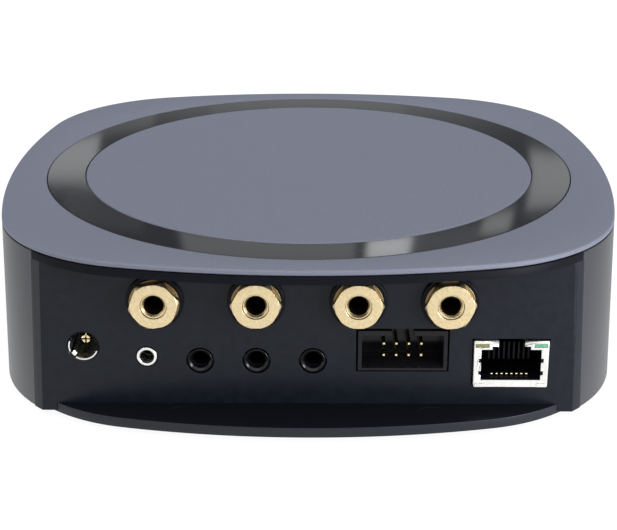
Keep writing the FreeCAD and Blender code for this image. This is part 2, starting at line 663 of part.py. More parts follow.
def make_case_shell():
    """The wall, with the recess cut across its rear and a deck inside its top."""
    outer = wall_form("shell_outer", "-wall_draft", "0", WALL_LOW, WALL_TOP)
    inner = wall_form(
        "shell_inner", "wall_thickness - wall_draft",
        f"wall_thickness - wall_draft * ({WALL_TOP} - {DECK_LOW}) / wall_rise",
        WALL_LOW, DECK_LOW,
    )
    well = slab_form("shell_well", "wall_thickness", DECK_TOP, "deck_drop")
    recess = box(
        "shell_recess", (f"2 * {FAR}", FAR, f"{DECK_LOW}"),
        (f"-{FAR}", f"{PANEL_BACK} - {FAR}", "0"),
    )
    window = doc.addObject("PartDesign::Body", "shell_window")
    rim = polygon_sketch(
        window, "shell_window_outline",
        [(f"-{WINDOW_X}", f"-{WINDOW_REAR}"), (WINDOW_X, f"-{WINDOW_REAR}"),
         (WINDOW_X, WINDOW_FRONT), (f"-{WINDOW_X}", WINDOW_FRONT)],
        height=DECK_LOW,
    )
    slab = pad(window, rim, "deck_thickness")
    doc.recompute()
    upright = [
        f"Edge{number}" for number, edge in enumerate(window.Shape.Edges, start=1)
        if edge.BoundBox.ZLength > edge.BoundBox.XLength + edge.BoundBox.YLength
    ]
    rounding = window.newObject("PartDesign::Fillet", "shell_window_corners")
    rounding.Base = (slab, upright)
    bind(rounding, "Radius", "window_corner")
    passes = [
        cylinder(f"shell_pass_{i}", "boss_radius + boss_gap", "deck_thickness", (x, y, DECK_LOW))
        for i, (x, y) in enumerate(four_corners(BOSS_X, BOSS_Y))
    ]
    rib = box(
        "shell_rib", (f"2 * {RIB_X}", "rib_thickness", "rib_height"),
        (f"-{RIB_X}", PANEL_BACK, f"{DECK_LOW} - rib_height"),
    )
    hollow = cut("shell_hollow", outer, inner, well, recess, window, *passes)
    node(fuse("shell", hollow, rib), "case_shell")
    return outer


def make_connector_panel(outer):
    """The flat plate at the back of the recess, with a hole for every socket."""
    blank = common("panel_blank", outer, box(
        "panel_slab", (f"2 * {FAR}", "panel_thickness", f"{DECK_LOW}"), (f"-{FAR}", PANEL_FACE, "0"),
    ))
    foot = slab_form("panel_foot", f"{BASE_INSET} - base_gap", "foot_height", "base_thickness")
    holes = [foot]

    def hole(name, radius, x, z):
        start = (x, PANEL_FACE, z)
        holes.append(cylinder(f"panel_{name}", radius, "panel_thickness", start, ALONG_Y))

    def slot(name, x, low, width, height):
        sides = (width, "panel_thickness", height)
        holes.append(box(f"panel_{name}", sides, (f"{x} - ({width})/2", PANEL_FACE, low)))

    for number in range(1, POST_COUNT + 1):
        radius = "collar_sleeve_radius + collar_sleeve_gap"
        hole(f"post_{number}", radius, f"post_{number}_x", POST_Z)
    hole("dc", "dc_nose_radius + fit_gap", DC_X, DC_Z)
    hole("service", "service_ring_radius + hole_gap/2", SERVICE_X, SERVICE_Z)
    for number in range(1, JACK_COUNT + 1):
        hole(f"jack_{number}", "jack_nose_radius + hole_gap", jack_x(number), JACK_Z)
    slot(
        "header", HEADER_X, f"{HEADER_Z} - header_height/2 - hole_gap",
        "header_width + 2 * hole_gap", "header_height + 2 * hole_gap",
    )
    slot(
        "lan", LAN_X, f"{LAN_LOW} - hole_gap/2",
        "lan_width + hole_gap", "lan_height + hole_gap",
    )
    node(cut("panel", blank, *holes), "connector_panel")


def jack_x(number):
    return f"({FIRST_JACK_X} + {number - 1} * {JACK_PITCH})"


def make_base_plate():
    """The plate that closes the case from below and sticks out as a ledge under the recess."""
    body = doc.addObject("PartDesign::Body", "base")
    pad(body, outline_sketch(body, "base_outline", BASE_INSET, "foot_height"), "base_thickness")
    pillars = [(x, y, "boss_radius") for x, y in four_corners(BOSS_X, BOSS_Y)]
    pad(body, circle_sketch(body, "base_pillars", pillars, BASE_TOP), "pillar_height")
    standoffs = [(x, y, "standoff_radius") for x, y in board_holes()]
    pad(body, circle_sketch(body, "base_standoffs", standoffs, BASE_TOP), "standoff_height")
    rib = rectangle("0", f"{PANEL_BACK} + rib_thickness/2", f"2 * {RIB_X}", "rib_thickness")
    pad(body, polygon_sketch(body, "base_rib", rib, height=BASE_TOP), "rib_height")
    seats = [(x, y, "foot_radius + foot_gap") for x, y in four_corners(FOOT_X, FOOT_Y)]
    pocket(body, circle_sketch(body, "base_seats", seats, "foot_height"), "foot_seat", up=True)
    sunk = [(x, y, "case_screw_head + head_gap") for x, y in four_corners(BOSS_X, BOSS_Y)]
    counterbores = circle_sketch(body, "base_counterbores", sunk, "foot_height")
    pocket(body, counterbores, "counterbore_depth", up=True)
    through = [(x, y, "case_screw_radius + screw_gap") for x, y in four_corners(BOSS_X, BOSS_Y)]
    pocket(body, circle_sketch(body, "base_screw_holes", through, PILLAR_TOP), "pillar_height")
    pilots = [(x, y, "board_screw_radius + screw_gap") for x, y in board_holes()]
    pocket(body, circle_sketch(body, "base_pilots", pilots, BOARD_LOW), "standoff_height")
    for row, y in enumerate(("-vent_offset", "vent_offset")):
        for column in range(VENT_COUNT):
            x = f"{column - (VENT_COUNT - 1) / 2} * vent_pitch"
            slot = rectangle(x, y, "vent_width", "vent_length")
            outline = polygon_sketch(body, f"base_vent_{row}_{column}", slot, height=BASE_TOP)
            pocket(body, outline, "base_thickness")
    node(body, "base_plate")


def make_feet():
    """Four rubber feet, let into the underside of the base plate."""
    sides = {"-1": "left", "1": "right"}
    ends = {"-1": "rear", "1": "front"}
    for i, j in (("-1", "-1"), ("1", "-1"), ("-1", "1"), ("1", "1")):
        profile = [
            ("0", "0"), ("foot_radius - foot_edge", "0"), ("foot_radius", "foot_edge"),
            ("foot_radius", "foot_height + foot_seat"), ("0", "foot_height + foot_seat"),
        ]
        name = f"foot_{ends[j]}_{sides[i]}"
        place_of_foot = (f"{i} * {FOOT_X}", f"{j} * {FOOT_Y}", "0")
        node(turned(f"{name}_body", profile, place_of_foot, UPRIGHT), name)


def make_top_cover():
    """The cover: a bevelled edge, a shadow line, an inner step, a sunk seat and four bosses."""
    body = doc.addObject("PartDesign::Body", "cover")
    upper = outline_sketch(body, "cover_upper", "0", f"{WALL_TOP} + seam_height")
    plate = pad(body, upper, "cover_thickness - seam_height")
    doc.recompute()
    top = value(COVER_TOP)
    rim = [
        f"Edge{number}" for number, edge in enumerate(body.Shape.Edges, start=1)
        if edge.BoundBox.ZMin > top - SMALL
    ]
    bevel = body.newObject("PartDesign::Chamfer", "cover_bevel")
    bevel.Base = (plate, rim)
    bind(bevel, "Size", "cover_edge")
    pad(body, outline_sketch(body, "cover_seam", "seam_depth", WALL_TOP), "seam_height")
    step = outline_sketch(body, "cover_step", "wall_thickness + plug_gap", DECK_TOP)
    pad(body, step, "deck_drop")
    bosses = [(x, y, "boss_radius") for x, y in four_corners(BOSS_X, BOSS_Y)]
    pad(body, circle_sketch(body, "cover_bosses", bosses, PILLAR_TOP), f"{DECK_TOP} - {PILLAR_TOP}")
    seat = circle_sketch(body, "cover_seat", [("0", "0", f"{RING_OUTER} + ring_gap")], COVER_TOP)
    pocket(body, seat, "ring_thickness")
    pilots = [(x, y, "case_screw_radius + screw_gap") for x, y in four_corners(BOSS_X, BOSS_Y)]
    reach = f"foot_height + counterbore_depth + case_screw_length + pilot_spare - {PILLAR_TOP}"
    pocket(body, circle_sketch(body, "cover_pilots", pilots, PILLAR_TOP), reach, up=True)
    node(body, "top_cover")


def make_ring_and_disc():
    """The gloss ring and the matte disc inside it, both lying in the cover's seat."""
    ring = [
        (RING_INNER, "0"), (RING_OUTER, "0"),
        (RING_OUTER, "ring_thickness - ring_bevel"),
        (f"{RING_OUTER} - ring_bevel", "ring_thickness"),
        (f"{RING_INNER} + ring_bevel", "ring_thickness"),
        (RING_INNER, "ring_thickness - ring_bevel"),
    ]
    node(turned("ring", ring, ("0", "0", RING_FLOOR), UPRIGHT), "gloss_ring")
    disc = [
        ("0", "0"), (f"{RING_INNER} - ring_gap", "0"),
        (f"{RING_INNER} - ring_gap", "ring_thickness"),
        (f"{RING_INNER} - ring_gap - disc_proud", "ring_thickness + disc_proud"),
        ("0", "ring_thickness + disc_proud"),
    ]
    node(turned("disc", disc, ("0", "0", RING_FLOOR), UPRIGHT), "top_disc")


def screw(name, radius, length, head, head_height, position, upwards):
    """A cheese-head screw, its head's underside at position."""
    profile = [
        ("0", f"-({head_height})"), (head, f"-({head_height})"), (head, "0"),
        (radius, "0"), (radius, length), ("0", length),
    ]
    return turned(name, profile, position, UPRIGHT if upwards else DOWNWARD)


def make_screws():
    seat = "(foot_height + counterbore_depth)"
    group("case_screws", [
        screw(f"case_screw_{i}", "case_screw_radius", "case_screw_length", "case_screw_head",
              "case_screw_head_height", (x, y, seat), True)
        for i, (x, y) in enumerate(four_corners(BOSS_X, BOSS_Y))
    ])
    group("board_screws", [
        screw(f"board_screw_{i}", "board_screw_radius", "board_screw_length", "board_screw_head",
              "board_screw_head_height", (x, y, BOARD_TOP), False)
        for i, (x, y) in enumerate(board_holes())
    ])


def make_terminal(number):
    """One speaker terminal: collar, threaded barrel with its plug socket, clamp washer and nut."""
    x = f"post_{number}_x"
    name = f"post_{number}"
    flange_seat = "barrel_flange_radius + barrel_gap"
    collar = [
        (BARREL_HOLE, "barrel_flange"), (flange_seat, "barrel_flange"), (flange_seat, "0"),
        ("collar_radius", "0"), ("collar_radius", "collar_thickness"),
        ("collar_sleeve_radius", "collar_thickness"),
        ("collar_sleeve_radius", "collar_thickness + panel_thickness"),
        (BARREL_HOLE, "collar_thickness + panel_thickness"),
    ]
    node(turned(f"{name}_collar_body", collar, (x, COLLAR_FACE, POST_Z)), f"{name}_collar")

    front = f"({COLLAR_FACE} - {BARREL_FRONT})"
    barrel = [
        ("0", "barrel_bore_depth"), ("barrel_bore", "barrel_bore_depth"), ("barrel_bore", "0"),
        ("barrel_radius", "0"), ("barrel_radius", front), ("barrel_flange_radius", front),
        ("barrel_flange_radius", f"{front} + barrel_flange"),
        ("barrel_radius", f"{front} + barrel_flange"),
        ("barrel_radius", "barrel_length"), ("0", "barrel_length"),
    ]
    node(turned(f"{name}_barrel_body", barrel, (x, BARREL_FRONT, POST_Z)), f"{name}_barrel")

    washer = [
        (BARREL_HOLE, "0"), ("washer_radius", "0"), ("washer_radius", "washer_thickness"),
        (BARREL_HOLE, "washer_thickness"),
    ]
    node(turned(f"{name}_washer_body", washer, (x, WASHER_FACE, POST_Z)), f"{name}_washer")

    blank = [
        (f"{BARREL_HOLE} + nut_mouth", "0"), ("nut_face_radius", "0"),
        ("nut_corner_radius", "nut_chamfer"), ("nut_corner_radius", "nut_thickness"),
        (BARREL_HOLE, "nut_thickness"), (BARREL_HOLE, "nut_mouth"),
    ]
    turned_blank = turned(f"{name}_nut_blank", blank, (x, NUT_FACE, POST_Z))
    flats = hex_bar(
        f"{name}_nut_flats", "nut_flats", "nut_thickness", (x, NUT_FACE, POST_Z), f"nut_turn_{number}",
    )
    node(common(f"{name}_nut_body", turned_blank, flats), f"{name}_nut")


def make_terminal_backs():
    """What holds and feeds the terminals inside the case."""
    washers, lock_washers, nuts, leads = [], [], [], []

    def ring(name, radius, thickness, position):
        profile = [
            (BARREL_HOLE, "0"), (radius, "0"), (radius, thickness), (BARREL_HOLE, thickness),
        ]
        return turned(name, profile, position)

    for number in range(1, POST_COUNT + 1):
        x = f"post_{number}_x"
        washers.append(ring(
            f"inner_washer_{number}", "inner_washer_radius", "inner_washer_thickness",
            (x, PANEL_BACK, POST_Z),
        ))
        lock_washers.append(ring(
            f"lock_washer_{number}", "lock_washer_radius", "lock_washer_thickness",
            (x, INNER_WASHER_BACK, POST_Z),
        ))
        back = (x, LOCK_WASHER_BACK, POST_Z)
        bar = hex_bar(f"rear_nut_bar_{number}", "rear_nut_flats", "rear_nut_thickness", back)
        bore = cylinder(f"rear_nut_bore_{number}", BARREL_HOLE, "rear_nut_thickness", back, ALONG_Y)
        nuts.append(cut(f"rear_nut_{number}", bar, bore))
        turn = f"({BARREL_BACK} + lead_run)"
        leads.append(bent_lead(f"lead_{number}", "lead_radius", [
            (x, BARREL_BACK, POST_Z), (x, turn, POST_Z), (x, turn, BOARD_TOP),
        ]))
    group("post_inner_washers", washers)
    group("post_lock_washers", lock_washers)
    group("post_rear_nuts", nuts)
    group("speaker_leads", leads)


def make_power_inlet():
    """A round power socket with a plated sleeve and a split centre pin."""
    body = box(
        "dc_block", ("dc_width", "dc_depth", "dc_height"), (f"{DC_X} - dc_width/2", PANEL_BACK, BOARD_TOP),
    )
    start = (DC_X, PANEL_FACE, DC_Z)
    nose = cylinder("dc_nose", "dc_nose_radius", "panel_thickness", start, ALONG_Y)
    bore = cylinder("dc_bore", "dc_bore_radius", "dc_bore_depth", start, ALONG_Y)
    node(cut("dc_body", fuse("dc_blank", body, nose), bore), "dc_jack_body")

    outer = "(dc_bore_radius - fit_gap)"
    inner = f"({outer} - dc_sleeve_thickness)"
    sleeve = [
        (inner, "dc_sleeve_sunk"), (outer, "dc_sleeve_sunk"), (outer, "dc_bore_depth"),
        (inner, "dc_bore_depth"),
    ]
    node(turned("dc_sleeve", sleeve, start), "dc_jack_sleeve")

    pin = [
        ("0", "dc_pin_sunk"), ("dc_pin_radius - dc_pin_taper", "dc_pin_sunk"),
        ("dc_pin_radius", "dc_pin_sunk + dc_pin_taper"),
        ("dc_pin_radius", "dc_bore_depth"), ("0", "dc_bore_depth"),
    ]
    round_pin = turned("dc_pin_round", pin, start)
    slot_length = "(dc_bore_depth - dc_pin_sunk) / 2"
    slot = box(
        "dc_pin_cut", ("dc_pin_slot", slot_length, "2 * dc_pin_radius"),
        (f"{DC_X} - dc_pin_slot/2", f"{PANEL_FACE} + dc_pin_sunk", f"{DC_Z} - dc_pin_radius"),
    )
    node(cut("dc_pin", round_pin, slot), "dc_jack_pin")


def make_service_socket():
    """A sub-miniature socket whose plated nose shows in the panel."""
    block = box(
        "service_block", ("service_width", "service_depth", "service_height"),
        (f"{SERVICE_X} - service_width/2", PANEL_BACK, BOARD_TOP),
    )
    start = (SERVICE_X, PANEL_BACK, SERVICE_Z)
    seat = cylinder(
        "service_seat", "service_ring_radius + fit_gap", "service_ring_seat", start, ALONG_Y,
    )
    bore = cylinder(
        "service_bore_cut", "service_bore", "service_bore_depth - panel_thickness", start, ALONG_Y,
    )
    node(cut("service_body", block, seat, bore), "service_jack_body")
    length = "(service_proud + panel_thickness + service_ring_seat)"
    ring = [
        ("service_mouth", "service_lip"), ("service_mouth + service_lip", "0"),
        ("service_ring_radius - service_lip", "0"), ("service_ring_radius", "service_lip"),
        ("service_ring_radius", length), ("service_mouth", length),
    ]
    front = (SERVICE_X, f"{PANEL_FACE} - service_proud", SERVICE_Z)
    node(turned("service_ring", ring, front), "service_jack_ring")


def make_audio_jack(number):
    """A 3.5 mm jack: a block on the board with a round nose through the panel."""
    x = jack_x(number)
    name = f"audio_jack_{number}"
    block = box(
        f"{name}_block", ("jack_width", "jack_depth", "jack_height"),
        (f"{x} - jack_width/2", PANEL_BACK, BOARD_TOP),
    )
    start = (x, PANEL_FACE, JACK_Z)
    nose = cylinder(f"{name}_nose", "jack_nose_radius", "panel_thickness", start, ALONG_Y)
    socket = [
        ("0", "0"), ("jack_bore + jack_mouth", "0"), ("jack_bore", "jack_mouth"),
        ("jack_bore", "jack_bore_depth"), ("0", "jack_bore_depth"),
    ]
    bore = turned(f"{name}_bore", socket, start)
    node(cut(f"{name}_body", fuse(f"{name}_blank", block, nose), bore), name)


def header_pins():
    """Column and row of every header pin, counted from the middle."""
    return [(column, row) for row in (-0.5, 0.5) for column in (-1.5, -0.5, 0.5, 1.5)]


def make_pin_header():
    """A keyed box header lying on the board, with two rows of four bent pins."""
    block = box(
        "header_block", ("header_width", "header_depth", "header_height"),
        (f"{HEADER_X} - header_width/2", HEADER_FACE, f"{HEADER_Z} - header_height/2"),
    )
    nub_height = "(header_rise - header_height/2)"
    nubs = [
        box(f"header_nub_{i}", ("nub_width", "nub_length", nub_height),
            (f"{HEADER_X} + {side} * nub_x - nub_width/2", f"{HEADER_BACK} - nub_length", BOARD_TOP))
        for i, side in enumerate((-1, 1))
    ]
    inner_width = "(header_width - 2 * header_side_wall)"
    inner_height = "(header_height - 2 * header_wall)"
    cavity = box(
        "header_cavity_cut", (inner_width, "header_cavity", inner_height),
        (f"{HEADER_X} - {inner_width}/2", HEADER_FACE, f"{HEADER_Z} - {inner_height}/2"),
    )
    key = box(
        "header_key", ("key_width", "header_cavity", "header_wall"),
        (f"{HEADER_X} - key_width/2", HEADER_FACE, f"{HEADER_Z} + {inner_height}/2"),
    )
    bevel = doc.addObject("PartDesign::Body", "header_bevel_cut")
    low = f"({HEADER_Z} - {inner_height}/2)"
    wedge = polygon_sketch(
        bevel, "header_bevel_side",
        [(HEADER_FACE, f"{low} - header_bevel"), (f"{HEADER_FACE} + 2 * header_bevel", low),
         (HEADER_FACE, low)],
        role="YZ_Plane", height=f"{HEADER_X} - {inner_width}/2",
    )
    pad(bevel, wedge, inner_width)
    side = "(pin_width + 2 * fit_gap)"
    holes = [
        box(f"header_hole_{i}", (side, "header_depth", side),
            (f"{HEADER_X} + {column} * pin_pitch - {side}/2", HEADER_FACE,
             f"{HEADER_Z} + {row} * pin_pitch - {side}/2"))
        for i, (column, row) in enumerate(header_pins())
    ]
    body = fuse("header_solid", block, *nubs)
    node(cut("header_body", body, cavity, key, bevel, *holes), "header_shroud")

    tip = f"({PANEL_FACE} + pin_sunk)"
    pins = []
    for i, (column, row) in enumerate(header_pins()):
        left = f"{HEADER_X} + {column} * pin_pitch - pin_width/2"
        low = f"({HEADER_Z} + {row} * pin_pitch - pin_width/2)"
        bend = f"({HEADER_BACK} + pin_tail + {row + 0.5} * pin_pitch)"
        flat = box(
            f"pin_flat_{i}", ("pin_width", f"{bend} + pin_width - {tip}", "pin_width"), (left, tip, low),
        )
        leg = box(
            f"pin_leg_{i}", ("pin_width", "pin_width", f"{low} + pin_width - {BOARD_TOP}"),
            (left, bend, BOARD_TOP),
        )
        pins.append(fuse(f"pin_{i}", flat, leg))
    group("header_pins", pins)


def make_network_socket():
    """A shielded network socket: sheet shield, moulded insert, contacts and two lenses."""
    width, height = "lan_width", "lan_height"
    left = f"({LAN_X} - lan_width/2)"
    inner_width = f"({width} - 2 * lan_sheet)"
    inner_height = f"({height} - 2 * lan_sheet)"
    skin = box("lan_skin", (width, "lan_depth", height), (left, LAN_FACE, LAN_LOW))
    hollow = box(
        "lan_hollow", (inner_width, "lan_depth", inner_height),
        (f"{left} + lan_sheet", f"{LAN_FACE} + lan_sheet", f"{LAN_LOW} + lan_sheet"),
    )

    def plug_space(name, depth):
        """The plug's way in: cavity, latch way and the narrow key on top of it."""
        tall = f"({LAN_FLOOR} + lan_cavity_height)"
        key_height = f"({LAN_LOW} + {height} - {tall} - latch_height)"
        cavity = box(
            f"{name}_cavity", ("lan_cavity_width", depth, "lan_cavity_height"),
            (f"{LAN_X} - lan_cavity_width/2", LAN_FACE, LAN_FLOOR),
        )
        latch = box(
            f"{name}_latch", ("latch_width", depth, "latch_height"),
            (f"{LAN_X} - latch_width/2", LAN_FACE, tall),
        )
        key = box(
            f"{name}_key", ("latch_key_width", depth, key_height),
            (f"{LAN_X} - latch_key_width/2", LAN_FACE, f"{tall} + latch_height"),
        )
        return cavity, latch, key

    def lens_space(name, side, gap, depth):
        wide, high = f"(led_width + 2 * {gap})", f"(led_height + 2 * {gap})"
        middle = f"{LAN_X} + {side} * (lan_width/2 - led_side - led_width/2)"
        low = f"{LAN_LOW} + {height} - led_drop - led_height - {gap}"
        return box(name, (wide, depth, high), (f"{middle} - {wide}/2", LAN_FACE, low))

    windows = [lens_space(f"lan_window_{i}", side, "fit_gap", "lan_sheet")
               for i, side in enumerate((-1, 1))]
    shield_cuts = plug_space("lan_mouth", "lan_sheet")
    node(cut("lan_shell", skin, hollow, *shield_cuts, *windows), "lan_shield")

    insert = box(
        "lan_insert_block",
        (f"{inner_width} - 2 * fit_gap", "lan_depth - lan_sheet", f"{inner_height} - 2 * fit_gap"),
        (f"{left} + lan_sheet + fit_gap", f"{LAN_FACE} + lan_sheet", f"{LAN_LOW} + lan_sheet + fit_gap"),
    )
    pockets = [lens_space(f"lan_pocket_{i}", side, "fit_gap", "led_depth")
               for i, side in enumerate((-1, 1))]
    insert_cuts = plug_space("lan_way", "lan_cavity_depth")
    node(cut("lan_block", insert, *insert_cuts, *pockets), "lan_insert")
    for side, name in ((-1, "lan_led_left"), (1, "lan_led_right")):
        node(lens_space(f"{name}_lens", side, "0", "led_depth"), name)

    contacts = []
    front = f"({LAN_FACE} + contact_start)"
    floor = f"({LAN_FLOOR} + contact_clear)"
    back = f"{front} + contact_run"
    for i in range(CONTACT_COUNT):
        place_across = i - (CONTACT_COUNT - 1) / 2
        strip = doc.addObject("PartDesign::Body", f"contact_{i}")
        side = polygon_sketch(
            strip, f"contact_side_{i}",
            [(front, floor), (back, f"{floor} + contact_lift"),
             (back, f"{floor} + contact_lift + contact_thickness"),
             (front, f"{floor} + contact_thickness")],
            role="YZ_Plane", height=f"{LAN_X} + {place_across} * contact_pitch - contact_width/2",
        )
        pad(strip, side, "contact_width")
        contacts.append(strip)
    group("lan_contacts", contacts)


def make_main_board():
    """The board that carries the sockets, cut away where the network socket sinks into it."""
    rear = f"({PANEL_BACK} + board_rear_gap)"
    corner_y = f"{BOARD_FRONT} - board_corner"
    points = [
        (f"-{BOARD_X}", rear), (BOARD_X, rear), (BOARD_X, corner_y),
        (f"{BOARD_X} - board_corner", BOARD_FRONT), (f"board_corner - {BOARD_X}", BOARD_FRONT),
        (f"-{BOARD_X}", corner_y),
    ]
    body = doc.addObject("PartDesign::Body", "board")
    pad(body, polygon_sketch(body, "board_outline", points, height=BOARD_LOW), "board_thickness")
    holes = [(x, y, "board_screw_radius + screw_gap") for x, y in board_holes()]
    pocket(body, circle_sketch(body, "board_screw_holes", holes, BOARD_TOP), "board_thickness")
    notch_back = f"({LAN_BACK} + fit_gap)"
    half = "(lan_width/2 + fit_gap)"
    notch = [
        (f"{LAN_X} - {half}", PANEL_BACK), (f"{LAN_X} + {half}", PANEL_BACK),
        (f"{LAN_X} + {half}", notch_back), (f"{LAN_X} - {half}", notch_back),
    ]
    pocket(body, polygon_sketch(body, "board_notch", notch, height=BOARD_TOP), "board_thickness")
    node(body, "main_board")


def make_amplifier_stage():
    """Amplifier chip under a finned heat sink, with its output filters and reservoirs."""
    chip = centred_box("amp_chip", ("chip_side", "chip_side", "chip_height"), ("0", SINK_Y, BOARD_TOP))
    node(chip, "amplifier_chip")

    body = doc.addObject("PartDesign::Body", "sink")
    plan = rectangle("0", SINK_Y, "sink_width", SINK_LENGTH)
    pad(body, polygon_sketch(body, "sink_plan", plan, height=SINK_LOW), "sink_base")
    base_top = f"({SINK_LOW} + sink_base)"
    first = rectangle(
        "-sink_width/2 + fin_thickness/2", SINK_Y, "fin_thickness", SINK_LENGTH,
    )
    fin = pad(body, polygon_sketch(body, "sink_fin", first, height=base_top), "fin_height")
    doc.recompute()
    pattern = body.newObject("PartDesign::LinearPattern", "sink_fins")
    pattern.Originals = [fin]
    pattern.Direction = (fin.Profile[0], ["H_Axis"])
    bind(pattern, "Length", "sink_width - fin_thickness")
    pattern.Occurrences = int(value("fin_count"))
    body.Tip = pattern
    posts = [
        cylinder(f"sink_post_{i}", "sink_post_radius", "chip_height",
                 (f"{side} * sink_screw_x", SINK_Y, BOARD_TOP))
        for i, side in enumerate((-1, 1))
    ]
    clear = "(board_screw_head + head_gap)"
    ways = [
        cylinder(f"sink_way_{i}", clear, "fin_height", (f"{side} * sink_screw_x", SINK_Y, base_top))
        for i, side in enumerate((-1, 1))
    ]
    bores = [
        cylinder(f"sink_bore_{i}", "board_screw_radius + screw_gap", "chip_height + sink_base",
                 (f"{side} * sink_screw_x", SINK_Y, BOARD_TOP))
        for i, side in enumerate((-1, 1))
    ]
    node(cut("sink_body", fuse("sink_blank", body, *posts), *ways, *bores), "heat_sink")
    group("heat_sink_screws", [
        screw(f"sink_screw_{i}", "board_screw_radius", "chip_height + sink_base", "board_screw_head",
              "board_screw_head_height", (f"{side} * sink_screw_x", SINK_Y, base_top), False)
        for i, side in enumerate((-1, 1))
    ])

    coils, films = [], []
    for i in range(FILTER_COUNT):
        x = f"({i - (FILTER_COUNT - 1) / 2} * inductor_pitch)"
        half, corner = "inductor_side/2", "inductor_corner"
        y = f"({INDUCTOR_REAR} + {half})"
        coil = doc.addObject("PartDesign::Body", f"inductor_{i}")
        points = [
            (f"{x} - {half} + {corner}", f"{y} - {half}"), (f"{x} + {half} - {corner}", f"{y} - {half}"),
            (f"{x} + {half}", f"{y} - {half} + {corner}"), (f"{x} + {half}", f"{y} + {half} - {corner}"),
            (f"{x} + {half} - {corner}", f"{y} + {half}"), (f"{x} - {half} + {corner}", f"{y} + {half}"),
            (f"{x} - {half}", f"{y} + {half} - {corner}"), (f"{x} - {half}", f"{y} - {half} + {corner}"),
        ]
        plan = polygon_sketch(coil, f"inductor_plan_{i}", points, height=BOARD_TOP)
        pad(coil, plan, "inductor_height")
        coils.append(coil)
        sides = ("film_width", "film_length", "film_height")
        films.append(centred_box(f"film_{i}", sides, (x, FILM_Y, BOARD_TOP)))
    group("output_inductors", coils)
    group("output_capacitors", films)

    group("reservoir_capacitors", [
        cylinder(f"reservoir_{i}", "bulk_radius", "bulk_height",
                 (BULK_X, f"{INDUCTOR_FRONT} + bulk_radius + {i} * bulk_pitch", BOARD_TOP))
        for i in range(2)
    ])


def make_streaming_module():
    """The plug-in streaming module, its shield can, and the antenna under the cover."""
    board = centred_box(
        "radio_plan", ("radio_width", "radio_length", "radio_thickness"),
        (RADIO_X, RADIO_Y, RADIO_LOW),
    )
    node(board, "radio_board")
    strip_y = f"({RADIO_Y} - radio_length/2 + radio_header_width/2)"
    far_strip_y = f"({RADIO_Y} + radio_length/2 - radio_header_width/2)"
    sides = ("radio_header_length", "radio_header_width", "radio_rise")
    group("radio_pin_strips", [
        centred_box("radio_strip_0", sides, (RADIO_X, strip_y, BOARD_TOP)),
        centred_box("radio_strip_1", sides, (RADIO_X, far_strip_y, BOARD_TOP)),
    ])
    can = centred_box("radio_can", ("can_width", "can_length", "can_height"),
                      (RADIO_X, RADIO_Y, RADIO_TOP))
    node(can, "radio_shield")
    antenna_low = f"({DECK_TOP} - antenna_thickness)"
    film = centred_box(
        "antenna_film", ("antenna_length", "antenna_width", "antenna_thickness"),
        ("0", ANTENNA_Y, antenna_low),
    )
    node(film, "antenna")
    edge = f"({RADIO_X} - radio_width/2)"
    level = f"({RADIO_LOW} + radio_thickness/2)"
    halfway = f"(({level} + {antenna_low}) / 2)"
    lead = bent_lead("coax", "coax_radius", [
        (edge, RADIO_Y, level), (COAX_X, RADIO_Y, level), (COAX_X, RADIO_Y, halfway),
        (COAX_X, ANTENNA_Y, halfway), (COAX_X, ANTENNA_Y, antenna_low),
    ])
    node(lead, "antenna_lead")
    group("control_chips", [
        centred_box("codec", ("codec_side", "codec_side", "codec_height"),
                    ("codec_x", CODEC_Y, BOARD_TOP)),
        centred_box("phy", ("phy_side", "phy_side", "codec_height"), (PHY_X, PHY_Y, BOARD_TOP)),
    ])


def check_and_export():
    """Stops on any failed object or bad solid, then writes one STEP file for each node."""
    doc.recompute()
    for item in doc.Objects:
        if "Invalid" in item.State or "Error" in item.State:
            raise RuntimeError(f"{item.Label} did not compute: {item.State}")
    for item in nodes:
        if item.Shape.isNull() or not item.Shape.isValid() or not item.Shape.Solids:
            raise RuntimeError(f"{item.Label} has no valid solid")
    os.makedirs("parts", exist_ok=True)
    for item in nodes:
        item.Shape.exportStep(f"parts/{item.Label}.step")
    print(f"{len(nodes)} nodes, {sum(len(item.Shape.Solids) for item in nodes)} solids")


outer_form = make_case_shell()
make_connector_panel(outer_form)
make_base_plate()
make_feet()
make_top_cover()
make_ring_and_disc()
make_screws()
for post in range(1, POST_COUNT + 1):
    make_terminal(post)
make_terminal_backs()
make_power_inlet()
make_service_socket()
for jack in range(1, JACK_COUNT + 1):
    make_audio_jack(jack)
make_pin_header()
make_network_socket()
make_main_board()
make_amplifier_stage()
make_streaming_module()
check_and_export()
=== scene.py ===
"""Looks of the streaming amplifier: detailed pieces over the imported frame, finishes, light, camera.

The builders take millimetres in the frame's own axes; the connector side faces -Y.
"""

import json
import math
from itertools import product

